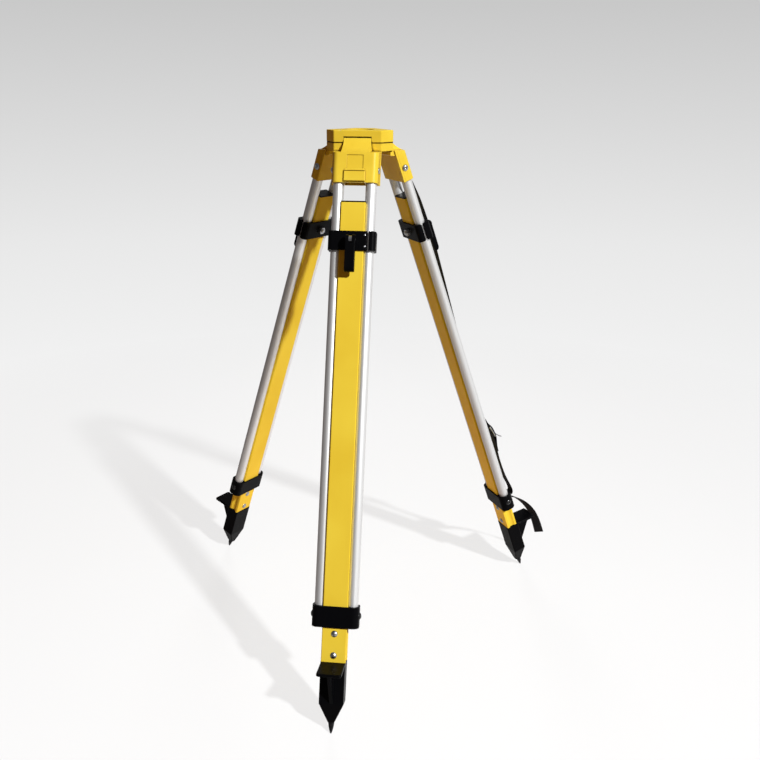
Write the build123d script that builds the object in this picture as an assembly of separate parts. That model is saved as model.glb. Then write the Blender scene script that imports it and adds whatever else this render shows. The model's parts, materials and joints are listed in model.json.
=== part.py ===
from build123d import *
import math
import os

# Construction tripod with three sliding legs, in millimetres and degrees.
# +Z is up, the origin is on the ground below the middle of the head, the front leg points to -Y.

# Legs: turn about Z of the front leg's pieces
LEGS = {"front": 0, "right": 120, "left": 240}
SPLAY = 20.0
STRAP_LEG = "right"

# Head: two stacked plates with the outline of a triangle with cut corners
HEAD_LONG = 90.0
HEAD_SHORT = 37.0
HEAD_PLATE_HEIGHT = 22.0
HEAD_BASE_HEIGHT = 15.0
HEAD_CORNER = 4.0
HEAD_BORE = 52.0
HEAD_EDGE = 1.5
PARTING_CHAMFER = 0.8

# Screws that hold the two plates together
HEAD_SCREW_D = 5.0
HEAD_SCREW_HEAD_D = 8.5
HEAD_SCREW_HEAD_HEIGHT = 5.0
HEAD_SCREW_GRIP = 12.0
HEAD_SCREW_PIN_GAP = 3.0
HEAD_SCREW_BACK = 2.4

# Hinges: pins clamped between the plates, at the parting line
HINGE_INSET = 9.3
PIN_D = 8.0
PIN_SEAT_LENGTH = 8.0
TONGUE_WIDTH = 51.0
TONGUE_BARREL = 8.5
TONGUE_NOSE = 8.4
TONGUE_HOLLOW = 2.6
NOTCH_SIDE_GAP = 0.5
NOTCH_BACK_GAP = 0.7
NOTCH_TOP_GAP = 2.5
NOTCH_FLARE = 1.8

# Tubes
TUBE_OD = 20.0
TUBE_WALL = 1.5
TUBE_PITCH = 60.0
TUBE_LENGTH = 850.0
LEG_OFFSET = 17.2

# Brackets
BRACKET_DROP = 82.0
SOCKET_DEPTH = 48.0
BRACKET_FRONT_WALL = 3.5
BRACKET_BACK_WALL = 1.5
BRACKET_SIDE_WALL = 2.5
BRACKET_ROUND = 11.0
BRACKET_FLANGE = 2.5
BRACKET_FLANGE_THICK = 3.5
SHOULDER_REACH = 4.5
SHOULDER_HEIGHT = 10.0
SHOULDER_ROUND = 2.5
HOLLOW_WALL = 3.0
HOLLOW_SIDE_WALL = 1.5
HOLLOW_DEPTH = 36.0
PANEL_WIDTH = 30.0
PANEL_HEIGHT = 29.0
PANEL_DROP = 4.0
PANEL_DEPTH = 1.0
BOSS_WIDTH = 39.0
BOSS_HEIGHT = 23.0
BOSS_PROUD = 3.5
BOSS_GROOVE = 1.4
BOSS_RIDGE = 4.0
BOSS_FOOT = 2.0
BOSS_CORNER = 3.0
BOSS_EDGE = 1.2

# Dome screws that hold the tubes
TUBE_SCREW_D = 5.0
TUBE_SCREW_HEAD_D = 12.4
TUBE_SCREW_HEAD_HEIGHT = 3.4
TUBE_SCREW_LENGTH = 9.0
TUBE_SCREW_RISE = 25.0

# Collars
COLLAR_HEIGHT = 38.0
COLLAR_FLOOR = 3.0
COLLAR_SIDE_WALL = 3.0
COLLAR_FACE_WALL = 3.0
COLLAR_ROUND = 12.0

# Inner profiles
PROFILE_WIDTH = 45.0
PROFILE_DEPTH = 25.0
PROFILE_WALL = 2.2
PROFILE_HEADROOM = 36.0
PROFILE_CORNER = 1.5
END_CAP_HEIGHT = 2.5
END_CAP_PLUG = 10.0

# Leg clamps
CLAMP_DROP = 53.0
CLAMP_HEIGHT = 35.0
JAW_WRAP = 5.6
JAW_SIDE_WALL = 4.0
JAW_ROUND = 8.0
JAW_EDGE = 2.0
OUTER_ARM_START = 0.8
INNER_ARM_START = 3.2
ARM_CORNER = 3.0
HOOK_SPLIT = 3.2
HOOK_SIDE = {"front": 1, "right": 1, "left": -1}
BOLT_D = 8.0
BOLT_EYE_D = 14.0
BOLT_EYE_THICK = 6.0
BOLT_TAIL = 3.0
NUT_ACROSS = 13.0
NUT_HEIGHT = 6.5
LEVER_WIDTH = 18.0
LEVER_PIN_D = 6.0
LEVER_CAM = 9.0
LEVER_LENGTH = 59.0
LEVER_UNDERCUT = 3.0
LEVER_END_ROUND = 7.5
LEVER_TIP_ROUND = 2.0
LEVER_EDGE = 1.5

# Rivets and feet
RIVET_D = 5.0
RIVET_HEAD_D = 12.4
RIVET_HEAD_HEIGHT = 3.2
RIVET_STOP_GAP = 5.3
RIVET_PITCH = 38.6
RIVET_EDGE = 12.0
SHOE_STRAIGHT = 74.0
SHOE_TAPER = 35.5
SHOE_PROUD = 4.0
SHOE_BACK = 1.0
SHOE_TIP = 12.4
SHOE_TIP_BACK = 9.5
SHOE_ROUND = 2.5
SPIGOT_LENGTH = 60.0
TREAD_REACH = 46.0
TREAD_TILT = 8.0
TREAD_THICK = 5.5
TREAD_RIB = 6.0
TREAD_RIB_DROP = 76.0
TREAD_ROUND = 2.0
TREAD_CORNER = 5.0
SPIKE_LENGTH = 21.5
SPIKE_D = 11.6
SPIKE_POINT = 2.4
SPIKE_BULGE = 0.8
SPIKE_SHANK_D = 7.0
SPIKE_SHANK_LENGTH = 22.0

# Fixing screw under the head
ARM_PIVOT_OUT = 46.0
ARM_THICK = 4.0
ARM_END_ROUND = 8.0
ARM_RIM = 7.0
ARM_PIVOT_D = 8.0
ARM_PIVOT_HEAD_D = 14.0
ARM_PIVOT_HEAD_HEIGHT = 3.0
ARM_PIVOT_DEPTH = 10.0
SCREW_D = 15.875
SCREW_POINT_DROP = 3.0
SCREW_CHAMFER = 1.5
SCREW_LIFT = 14.0
BUSH_NECK_D = 20.0
BUSH_FLANGE_D = 25.0
BUSH_FLANGE_THICK = 2.5
BUSH_TRAVEL = 8.0
RING_D = 22.0
RING_THICK = 2.0
RING_GROOVE = 1.0
KNOB_D = 34.0
KNOB_HEIGHT = 26.0
KNOB_FLUTES = 8
KNOB_FLUTE_D = 7.0
KNOB_EDGE = 2.0

# Carry strap, on the leg named above
STRAP_WIDTH = 22.0
STRAP_THICK = 2.0
STRAP_SIDE = 26.0
STRAP_SLOT_DEPTH = 11.0
STRAP_SCREW_D = 4.0
STRAP_SCREW_HEAD_D = 9.0
STRAP_SCREW_HEAD_HEIGHT = 2.2
STRAP_SCREW_LENGTH = 8.0
STRAP_LUG_DROP = 11.0
TAIL_TWIST = -48.0
BUCKLE_SHARE = 0.807
BUCKLE_PROUD = 16.4
BUCKLE_TILT = 11.5
BUCKLE_BAR = 2.6
BUCKLE_ROLLER_D = 4.2
BUCKLE_LENGTH = 30.0
BUCKLE_PRONG_D = 2.5
BUCKLE_PRONG = 41.0
BUCKLE_PRONG_TILT = 8.0

# Clearances
FIXED_FIT = 0.05
RUNNING_FIT = 0.05
SLIDING_GAP = 0.4
JAW_GAP = 0.35
STOP_GAP = 0.3
SIDE_PLAY = 0.3
FACE_PLAY = 0.1
STRAP_PLAY = 0.2

# Sizes that follow from the ones above
SIN = math.sin(math.radians(SPLAY))
COS = math.cos(math.radians(SPLAY))
HEAD_FACE = (HEAD_LONG + 2 * HEAD_SHORT) / (2 * math.sqrt(3))
HINGE_RADIUS = HEAD_FACE - HINGE_INSET
TUBE_R = TUBE_OD / 2
NOTCH_WIDTH = TONGUE_WIDTH + 2 * NOTCH_SIDE_GAP
SHOULDER_Z = -HEAD_BASE_HEIGHT - STOP_GAP
BRACKET_FRONT = TUBE_R + BRACKET_FRONT_WALL
BRACKET_BACK = TUBE_R + BRACKET_BACK_WALL
BRACKET_SIDE = TUBE_PITCH / 2 + TUBE_R + BRACKET_SIDE_WALL
TUBE_TOP = BRACKET_DROP - SOCKET_DEPTH
TUBE_END = TUBE_TOP + TUBE_LENGTH
BRACKET_SCREW_AT = BRACKET_DROP - TUBE_SCREW_RISE
COLLAR_END = TUBE_END + COLLAR_FLOOR
COLLAR_TOP = COLLAR_END - COLLAR_HEIGHT
COLLAR_SCREW_AT = (COLLAR_TOP + TUBE_END) / 2
STRAP_SCREW_AT = (COLLAR_TOP + STRAP_LUG_DROP + TUBE_END) / 2
COLLAR_SIDE = TUBE_PITCH / 2 + TUBE_R + COLLAR_SIDE_WALL
COLLAR_FACE = PROFILE_DEPTH / 2 + SLIDING_GAP + COLLAR_FACE_WALL
PROFILE_FACE = PROFILE_DEPTH / 2
PROFILE_TOP = BRACKET_DROP + PROFILE_HEADROOM
UPPER_RIVET = COLLAR_END + RIVET_HEAD_D / 2 + RIVET_STOP_GAP
LOWER_RIVET = UPPER_RIVET + RIVET_PITCH
PROFILE_END = LOWER_RIVET + RIVET_EDGE
CLAMP_TOP = PROFILE_TOP + CLAMP_DROP
CLAMP_END = CLAMP_TOP + CLAMP_HEIGHT
CLAMP_AT = CLAMP_TOP + CLAMP_HEIGHT / 2
JAW_FACE = TUBE_R + JAW_GAP + JAW_WRAP
JAW_SIDE = TUBE_PITCH / 2 + TUBE_R + JAW_SIDE_WALL
LEVER_PIVOT = JAW_FACE + LEVER_CAM + STOP_GAP
SHOE_END = PROFILE_END + SHOE_STRAIGHT + SHOE_TAPER
LEG_LENGTH = SHOE_END + SPIKE_LENGTH
HINGE_HEIGHT = LEG_LENGTH * COS - LEG_OFFSET * SIN
BASE_BOTTOM = HINGE_HEIGHT - HEAD_BASE_HEIGHT
HEAD_TOP = HINGE_HEIGHT + HEAD_PLATE_HEIGHT
ARM_TOP = BASE_BOTTOM - STOP_GAP
ARM_BOTTOM = ARM_TOP - ARM_THICK
BUSH_TOP = ARM_TOP + FACE_PLAY + BUSH_FLANGE_THICK
BUSH_BOTTOM = ARM_BOTTOM - FACE_PLAY - BUSH_FLANGE_THICK
RING_BOTTOM = BUSH_TOP + FACE_PLAY
KNOB_TOP = BUSH_BOTTOM - SCREW_LIFT - FACE_PLAY
SCREW_TIP = HEAD_TOP - SCREW_POINT_DROP
CUT = 2.0


def hinge_frame(turn):
    """Place of a hinge: X along its pin, -Y away from the head's middle, Z up."""
    return Rot(0, 0, turn) * Pos(0, -HINGE_RADIUS, HINGE_HEIGHT)


def leg_frame(turn):
    """Place of a leg: Z up along it from the hinge, -Y outward, Y = 0 in the tubes' plane."""
    return hinge_frame(turn) * Rot(-SPLAY, 0, 0) * Pos(0, -LEG_OFFSET, 0)


def hinge_to_leg(out, up):
    """A point of the hinge's frame, outward and up, as Y and Z of the leg's frame."""
    return (LEG_OFFSET - out * COS - up * SIN, up * COS - out * SIN)


def shoulder_out(y):
    """How far outward the shoulder's plane lies where it crosses Y of the leg's frame."""
    return (LEG_OFFSET - y - SHOULDER_Z * SIN) / COS


def cylinder_x(radius, length, x, y, z):
    """A cylinder along X, centred on a point."""
    return Pos(x, y, z) * Rot(0, 90, 0) * Cylinder(radius, length)


def cylinder_y(radius, y_low, y_high, x, z):
    """A cylinder along Y, from one Y to another."""
    return Pos(x, (y_low + y_high) / 2, z) * Rot(90, 0, 0) * Cylinder(radius, y_high - y_low)


def cylinder_z(radius, z_low, z_high, x=0, y=0):
    """A cylinder along Z, from one Z to another."""
    return Pos(x, y, (z_low + z_high) / 2) * Cylinder(radius, z_high - z_low)


def block(x, y, z):
    """A box given by its limits along each axis."""
    size = (x[1] - x[0], y[1] - y[0], z[1] - z[0])
    return Pos((x[0] + x[1]) / 2, (y[0] + y[1]) / 2, (z[0] + z[1]) / 2) * Box(*size)


def slab(outline, half_width):
    """A closed outline in the Y-Z plane, made as thick along X on both sides."""
    return extrude(Plane.YZ * make_face(outline), amount=half_width, both=True)


def dome(radius, height):
    """A dome with its flat side on Z = 0, pointing to +Z."""
    ball = (radius**2 + height**2) / (2 * height)
    cap = Pos(0, 0, height - ball) * Sphere(ball)
    return cap & Pos(0, 0, height / 2) * Box(2 * radius, 2 * radius, height)


def dome_screw(head_d, head_height, shank_d, length):
    """A dome-head screw, head up, with the head's flat side on Z = 0."""
    return dome(head_d / 2, head_height) + cylinder_z(shank_d / 2, -length, 0)


# Head


def head_outline():
    """The triangle with cut corners, its long sides at the legs."""
    corners = []
    for turn in (0, 120, 240):
        for side in (-1, 1):
            corners.append(Vector(side * HEAD_LONG / 2, -HEAD_FACE).rotate(Axis.Z, turn))
    outline = Polygon(*[(c.X, c.Y) for c in corners], align=None)
    return fillet(outline.vertices(), HEAD_CORNER)


def head_screw_places():
    """Middle of each screw that joins the plates, one beyond each end of a hinge pin."""
    beyond = pin_length() / 2 + HEAD_SCREW_PIN_GAP + HEAD_SCREW_D / 2
    for turn in LEGS.values():
        for side in (-1, 1):
            yield hinge_frame(turn) * Pos(side * beyond, HEAD_SCREW_BACK, -HEAD_BASE_HEIGHT)


def head_screw(clearance=0.0):
    """A socket screw in its counterbore, on the head's underside."""
    top = HEAD_SCREW_HEAD_HEIGHT + HEAD_SCREW_GRIP + clearance
    head = cylinder_z(HEAD_SCREW_HEAD_D / 2 + clearance, 0, HEAD_SCREW_HEAD_HEIGHT + clearance)
    return head + cylinder_z(HEAD_SCREW_D / 2 + clearance, 0, top)


def flared_block(half_width, y_low, y_high, z_low, z_high):
    """A block in a hinge's frame that widens evenly below the parting line."""
    wide = half_width - z_low * NOTCH_FLARE / HEAD_BASE_HEIGHT
    outline = Polygon(
        (-half_width, z_high), (-half_width, 0), (-wide, z_low),
        (wide, z_low), (half_width, 0), (half_width, z_high), align=None,
    )
    return Pos(0, y_high, 0) * extrude(Plane.XZ * outline, amount=y_high - y_low)


def head_cuts():
    """What both plates leave open: bore, notches for the tongues, pin seats and screw holes."""
    cuts = [cylinder_z(HEAD_BORE / 2, BASE_BOTTOM - CUT, HEAD_TOP + CUT)]
    notch = flared_block(
        NOTCH_WIDTH / 2,
        -HINGE_INSET - CUT,
        TONGUE_BARREL + NOTCH_BACK_GAP,
        -HEAD_BASE_HEIGHT - CUT,
        TONGUE_BARREL + NOTCH_TOP_GAP,
    )
    seat = cylinder_x(PIN_D / 2 + FIXED_FIT, pin_length() + 2 * FIXED_FIT, 0, 0, 0)
    for turn in LEGS.values():
        cuts.append(hinge_frame(turn) * notch)
        cuts.append(hinge_frame(turn) * seat)
    for place in head_screw_places():
        cuts.append(place * head_screw(FIXED_FIT))
    return cuts


def pin_length():
    """A hinge pin spans the notch and its two seats."""
    return NOTCH_WIDTH + 2 * PIN_SEAT_LENGTH


def head_plate():
    plate = Pos(0, 0, HINGE_HEIGHT) * extrude(head_outline(), amount=HEAD_PLATE_HEIGHT)
    plate = fillet(plate.edges().group_by(Axis.Z)[-1], HEAD_EDGE)
    plate = chamfer(plate.edges().group_by(Axis.Z)[0], PARTING_CHAMFER)
    for cut in head_cuts():
        plate -= cut
    return plate


def head_base():
    base = Pos(0, 0, BASE_BOTTOM) * extrude(head_outline(), amount=HEAD_BASE_HEIGHT)
    base = chamfer(base.edges().group_by(Axis.Z)[-1], PARTING_CHAMFER)
    for cut in head_cuts():
        base -= cut
    return base - cylinder_z(
        ARM_PIVOT_D / 2 + FIXED_FIT, BASE_BOTTOM - CUT, BASE_BOTTOM + ARM_PIVOT_DEPTH, 0, ARM_PIVOT_OUT
    )


def hinge_pins():
    pin = cylinder_x(PIN_D / 2, pin_length(), 0, 0, 0)
    return [hinge_frame(turn) * pin for turn in LEGS.values()]


def head_screws():
    return [place * head_screw() for place in head_screw_places()]


# Fixing screw


def swivel_arm():
    slot_length = 2 * BUSH_TRAVEL
    eye = SlotCenterToCenter(slot_length, BUSH_NECK_D + 2 * ARM_RIM, rotation=90)
    end = Pos(0, ARM_PIVOT_OUT) * Circle(ARM_END_ROUND)
    outline = make_hull((eye + end).edges())
    outline -= SlotCenterToCenter(slot_length, BUSH_NECK_D + 2 * SIDE_PLAY, rotation=90)
    outline -= Pos(0, ARM_PIVOT_OUT) * Circle(ARM_PIVOT_D / 2 + RUNNING_FIT)
    return Pos(0, 0, ARM_BOTTOM) * extrude(outline, amount=ARM_THICK)


def arm_pivot():
    head_top = ARM_BOTTOM - FACE_PLAY
    head = cylinder_z(ARM_PIVOT_HEAD_D / 2, head_top - ARM_PIVOT_HEAD_HEIGHT, head_top, 0, ARM_PIVOT_OUT)
    shank = cylinder_z(ARM_PIVOT_D / 2, head_top, BASE_BOTTOM + ARM_PIVOT_DEPTH, 0, ARM_PIVOT_OUT)
    return fillet(head.edges().group_by(Axis.Z)[0], ARM_PIVOT_HEAD_HEIGHT / 2) + shank


def guide_bush():
    bush = cylinder_z(BUSH_NECK_D / 2, BUSH_BOTTOM, BUSH_TOP)
    bush += cylinder_z(BUSH_FLANGE_D / 2, BUSH_TOP - BUSH_FLANGE_THICK, BUSH_TOP)
    bush += cylinder_z(BUSH_FLANGE_D / 2, BUSH_BOTTOM, BUSH_BOTTOM + BUSH_FLANGE_THICK)
    return bush - cylinder_z(SCREW_D / 2 + RUNNING_FIT, BUSH_BOTTOM - CUT, BUSH_TOP + CUT)


def retaining_ring():
    ring = cylinder_z(RING_D / 2, RING_BOTTOM, RING_BOTTOM + RING_THICK)
    bore = SCREW_D / 2 - RING_GROOVE + RUNNING_FIT
    return ring - cylinder_z(bore, RING_BOTTOM - CUT, RING_BOTTOM + RING_THICK + CUT)


def fixing_screw():
    screw = cylinder_z(SCREW_D / 2, KNOB_TOP - KNOB_HEIGHT / 2, SCREW_TIP)
    screw = chamfer(screw.edges().group_by(Axis.Z)[-1], SCREW_CHAMFER)
    low = RING_BOTTOM - FACE_PLAY
    high = RING_BOTTOM + RING_THICK + FACE_PLAY
    groove = cylinder_z(SCREW_D, low, high) - cylinder_z(SCREW_D / 2 - RING_GROOVE, low, high)
    return screw - groove


def screw_knob():
    knob = cylinder_z(KNOB_D / 2, KNOB_TOP - KNOB_HEIGHT, KNOB_TOP)
    knob = chamfer(knob.edges().filter_by(GeomType.CIRCLE), KNOB_EDGE)
    for index in range(KNOB_FLUTES):
        turn = index * 360 / KNOB_FLUTES
        knob -= Rot(0, 0, turn) * cylinder_z(
            KNOB_FLUTE_D / 2, KNOB_TOP - KNOB_HEIGHT - CUT, KNOB_TOP + CUT, KNOB_D / 2 + KNOB_FLUTE_D / 6
        )
    bore_end = KNOB_TOP - KNOB_HEIGHT / 2 - FIXED_FIT
    return knob - cylinder_z(SCREW_D / 2 + FIXED_FIT, bore_end, KNOB_TOP + CUT)


# Leg pieces that stay with the tubes, in the leg's frame


def bracket_body():
    """The cast block round the sockets, cut level under the head, with the stop shoulder."""
    low = -BRACKET_DROP
    shoulder_low = SHOULDER_Z - SHOULDER_HEIGHT
    back_out = (LEG_OFFSET - BRACKET_BACK - shoulder_low * SIN) / COS
    outline = Polyline(
        hinge_to_leg(SHOULDER_REACH, SHOULDER_Z),
        hinge_to_leg(shoulder_out(-BRACKET_FRONT), SHOULDER_Z),
        (-BRACKET_FRONT, low),
        (BRACKET_BACK, low),
        hinge_to_leg(back_out, shoulder_low),
        hinge_to_leg(SHOULDER_REACH, shoulder_low),
        close=True,
    )
    body = slab(outline, BRACKET_SIDE)
    body = fillet(body.edges().filter_by(Axis.Z).group_by(Axis.Y)[0], BRACKET_ROUND)
    inner_edges = body.edges().filter_by(Axis.X).sort_by(Axis.Y)[-2:]
    return fillet(inner_edges, SHOULDER_ROUND)


def bracket_flange():
    """The rim along the back edges of the bracket's sides."""
    front = BRACKET_BACK - BRACKET_FLANGE_THICK
    outline = Polyline(
        hinge_to_leg(shoulder_out(front), SHOULDER_Z),
        hinge_to_leg(shoulder_out(BRACKET_BACK), SHOULDER_Z),
        (BRACKET_BACK, -BRACKET_DROP),
        (front, -BRACKET_DROP),
        close=True,
    )
    return slab(outline, BRACKET_SIDE + BRACKET_FLANGE)


def bracket_tongue():
    """The tongue that rises from the bracket into the head and turns on the hinge pin."""
    slant = math.sqrt(0.5) * TONGUE_BARREL
    back = hinge_to_leg(-TONGUE_BARREL, 0)
    top = hinge_to_leg(0, TONGUE_BARREL)
    nose = hinge_to_leg(TONGUE_NOSE, TONGUE_BARREL)
    brow_out = shoulder_out(-BRACKET_FRONT)
    brow = hinge_to_leg(brow_out, SHOULDER_Z)
    middle_out = (TONGUE_NOSE + brow_out) / 2 - TONGUE_HOLLOW
    middle = hinge_to_leg(middle_out, (TONGUE_BARREL + SHOULDER_Z) / 2 - TONGUE_HOLLOW)
    heel = hinge_to_leg(SHOULDER_REACH + SHOULDER_ROUND, SHOULDER_Z - SHOULDER_HEIGHT / 2)
    rim = ThreePointArc(back, hinge_to_leg(-slant, slant), top)
    brow_line = ThreePointArc(nose, middle, brow)
    sides = Polyline(brow, hinge_to_leg(brow_out, SHOULDER_Z - SHOULDER_HEIGHT / 2), heel, back)
    outline = rim + Line(top, nose) + brow_line + sides
    half = TONGUE_WIDTH / 2
    reach = brow_out + CUT
    room = flared_block(half, -reach, reach, SHOULDER_Z - SHOULDER_HEIGHT, TONGUE_BARREL + CUT)
    return slab(outline, TONGUE_WIDTH) & Pos(0, LEG_OFFSET, 0) * Rot(SPLAY, 0, 0) * room


def bracket():
    piece = bracket_body() + bracket_flange() + bracket_tongue()
    # The raised boss on the front, with a groove across and a slot for the strap from below.
    boss_low = -BRACKET_DROP + BOSS_FOOT
    boss_high = boss_low + BOSS_HEIGHT
    boss_front = -BRACKET_FRONT - BOSS_PROUD
    half = BOSS_WIDTH / 2
    boss = block((-half, half), (boss_front, -BRACKET_FRONT + CUT), (boss_low, boss_high))
    boss = chamfer(boss.edges().filter_by(Axis.Y).group_by(Axis.Z)[-1], BOSS_CORNER)
    piece += fillet(boss.edges().group_by(Axis.Y)[0], BOSS_EDGE)
    groove_high = boss_high - BOSS_RIDGE
    groove_y = (boss_front - CUT, boss_front + BOSS_GROOVE)
    piece -= block((-half - CUT, half + CUT), groove_y, (groove_high - BOSS_GROOVE, groove_high))
    slot_half = STRAP_WIDTH / 2 + STRAP_PLAY
    slot_y = (-BRACKET_FRONT - STRAP_THICK - 2 * STRAP_PLAY, -BRACKET_FRONT)
    piece -= block((-slot_half, slot_half), slot_y, (boss_low - CUT, boss_low + STRAP_SLOT_DEPTH))
    # The shallow panel above the boss.
    panel_high = hinge_to_leg(shoulder_out(-BRACKET_FRONT), SHOULDER_Z)[1] - PANEL_DROP
    panel_y = (-BRACKET_FRONT - CUT, -BRACKET_FRONT + PANEL_DEPTH)
    panel_half = PANEL_WIDTH / 2
    piece -= block((-panel_half, panel_half), panel_y, (panel_high - PANEL_HEIGHT, panel_high))
    # Sockets, the hollow between them, and the holes for pin and screws.
    for side in (-1, 1):
        x = side * TUBE_PITCH / 2
        piece -= cylinder_z(TUBE_R + FIXED_FIT, -BRACKET_DROP - CUT, -TUBE_TOP + FIXED_FIT, x)
        piece -= cylinder_x(
            TUBE_SCREW_D / 2 + FIXED_FIT, TUBE_PITCH / 2, side * BRACKET_SIDE, 0, -BRACKET_SCREW_AT
        )
    hollow_half = TUBE_PITCH / 2 - TUBE_R - HOLLOW_SIDE_WALL
    hollow_y = (HOLLOW_WALL - BRACKET_FRONT, BRACKET_BACK - HOLLOW_WALL)
    hollow_z = (-BRACKET_DROP - CUT, -BRACKET_DROP + HOLLOW_DEPTH)
    piece -= block((-hollow_half, hollow_half), hollow_y, hollow_z)
    pin_y, pin_z = hinge_to_leg(0, 0)
    return piece - cylinder_x(PIN_D / 2 + RUNNING_FIT, 2 * TONGUE_WIDTH, 0, pin_y, pin_z)


def tube(side):
    """One of a leg's two tubes, with the screw holes in its outer side."""
    x = side * TUBE_PITCH / 2
    piece = cylinder_z(TUBE_R, -TUBE_END, -TUBE_TOP, x)
    piece -= cylinder_z(TUBE_R - TUBE_WALL, -TUBE_END - CUT, -TUBE_TOP + CUT, x)
    for at in (BRACKET_SCREW_AT, COLLAR_SCREW_AT):
        piece -= cylinder_x(TUBE_SCREW_D / 2 + FIXED_FIT, TUBE_OD, x + side * TUBE_OD / 2, 0, -at)
    return piece


def tube_screws():
    screw = dome_screw(TUBE_SCREW_HEAD_D, TUBE_SCREW_HEAD_HEIGHT, TUBE_SCREW_D, TUBE_SCREW_LENGTH)
    screws = []
    for side in (-1, 1):
        for out, at in ((BRACKET_SIDE, BRACKET_SCREW_AT), (COLLAR_SIDE, COLLAR_SCREW_AT)):
            screws.append(Pos(side * out, 0, -at) * Rot(0, side * 90, 0) * screw)
    return screws


def collar():
    outline = RectangleRounded(2 * COLLAR_SIDE, 2 * COLLAR_FACE, COLLAR_ROUND)
    piece = Pos(0, 0, -COLLAR_END) * extrude(outline, amount=COLLAR_HEIGHT)
    half_x = PROFILE_WIDTH / 2 + SLIDING_GAP
    half_y = PROFILE_DEPTH / 2 + SLIDING_GAP
    piece -= block((-half_x, half_x), (-half_y, half_y), (-COLLAR_END - CUT, -COLLAR_TOP + CUT))
    for side in (-1, 1):
        x = side * TUBE_PITCH / 2
        piece -= cylinder_z(TUBE_R + FIXED_FIT, -TUBE_END - FIXED_FIT, -COLLAR_TOP + CUT, x)
        piece -= cylinder_x(
            TUBE_SCREW_D / 2 + FIXED_FIT, TUBE_PITCH / 2, side * COLLAR_SIDE, 0, -COLLAR_SCREW_AT
        )
    return piece


# Leg pieces that slide, in the leg's frame


def profile_outline(inset):
    """Section of the inner profile: a box whose sides are hollowed to fit the tubes."""
    outline = RectangleRounded(PROFILE_WIDTH - 2 * inset, PROFILE_DEPTH - 2 * inset, PROFILE_CORNER)
    for side in (-1, 1):
        outline -= Pos(side * TUBE_PITCH / 2, 0) * Circle(TUBE_R + SLIDING_GAP + inset)
    return outline


def profile():
    section = profile_outline(0) - profile_outline(PROFILE_WALL)
    piece = Pos(0, 0, -PROFILE_END) * extrude(section, amount=PROFILE_END - PROFILE_TOP)
    for at in (UPPER_RIVET, LOWER_RIVET):
        piece -= cylinder_y(RIVET_D / 2 + FIXED_FIT, -PROFILE_DEPTH, PROFILE_DEPTH, 0, -at)
    return piece - cylinder_y(BOLT_D / 2 + FIXED_FIT, -PROFILE_DEPTH, PROFILE_DEPTH, 0, -CLAMP_AT)


def end_cap():
    lid = Pos(0, 0, -PROFILE_TOP) * extrude(profile_outline(0), amount=END_CAP_HEIGHT)
    plug = extrude(profile_outline(PROFILE_WALL + FIXED_FIT), amount=END_CAP_PLUG)
    return lid + Pos(0, 0, -PROFILE_TOP - END_CAP_PLUG) * plug


def jaw_cuts():
    """Room in a jaw for the two tubes and for the profile."""
    half_x = PROFILE_WIDTH / 2 + SIDE_PLAY
    half_y = PROFILE_FACE + FACE_PLAY
    cuts = Rectangle(2 * half_x, 2 * half_y)
    for side in (-1, 1):
        cuts += Pos(side * TUBE_PITCH / 2, 0) * Circle(TUBE_R + JAW_GAP)
    return cuts


def jaw(outline):
    piece = extrude(outline - jaw_cuts(), amount=CLAMP_HEIGHT)
    piece = Pos(0, 0, -CLAMP_END) * piece
    return piece - cylinder_y(BOLT_D / 2 + FIXED_FIT, -JAW_FACE - CUT, JAW_FACE + CUT, 0, -CLAMP_AT)


def span(x_low, x_high, y_low, y_high):
    """A rectangle given by its limits."""
    size = (x_high - x_low, y_high - y_low)
    return Pos((x_low + x_high) / 2, (y_low + y_high) / 2) * Rectangle(*size)


def outer_jaw(hook):
    """The jaw under the lever: over one tube, across the profile, to the front of the other tube."""
    end = TUBE_PITCH / 2 - HOOK_SPLIT / 2
    outline = span(-JAW_SIDE, end, -JAW_FACE, -OUTER_ARM_START)
    front_left = outline.vertices().group_by(Axis.Y)[0].sort_by(Axis.X)[0]
    outline = fillet([front_left], JAW_ROUND)
    front_right = outline.vertices().group_by(Axis.Y)[0].sort_by(Axis.X)[-1]
    piece = jaw(fillet([front_right], JAW_EDGE))
    arm_ends = piece.edges().filter_by(Axis.X).group_by(Axis.Y)[-1]
    return facing(fillet(arm_ends, ARM_CORNER), hook)


def inner_jaw(hook):
    """The jaw under the nut: behind both tubes, with one arm hooked round to the front."""
    start = TUBE_PITCH / 2 + HOOK_SPLIT / 2
    outline = span(-JAW_SIDE, JAW_SIDE, INNER_ARM_START, JAW_FACE)
    outline = fillet(outline.vertices().group_by(Axis.Y)[-1], JAW_ROUND)
    arm = span(start, JAW_SIDE, -JAW_FACE, JAW_FACE - JAW_ROUND)
    arm = fillet([arm.vertices().group_by(Axis.Y)[0].sort_by(Axis.X)[-1]], JAW_ROUND)
    piece = jaw(outline + arm)
    arm_ends = piece.edges().filter_by(Axis.X).filter_by_position(Axis.Y, 0, JAW_FACE / 2)
    return facing(fillet(arm_ends, ARM_CORNER), hook)


def facing(piece, hook):
    """A jaw as made, or mirrored for a leg whose hooked arm is on the other side."""
    return piece if hook > 0 else mirror(piece, Plane.YZ)


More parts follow.
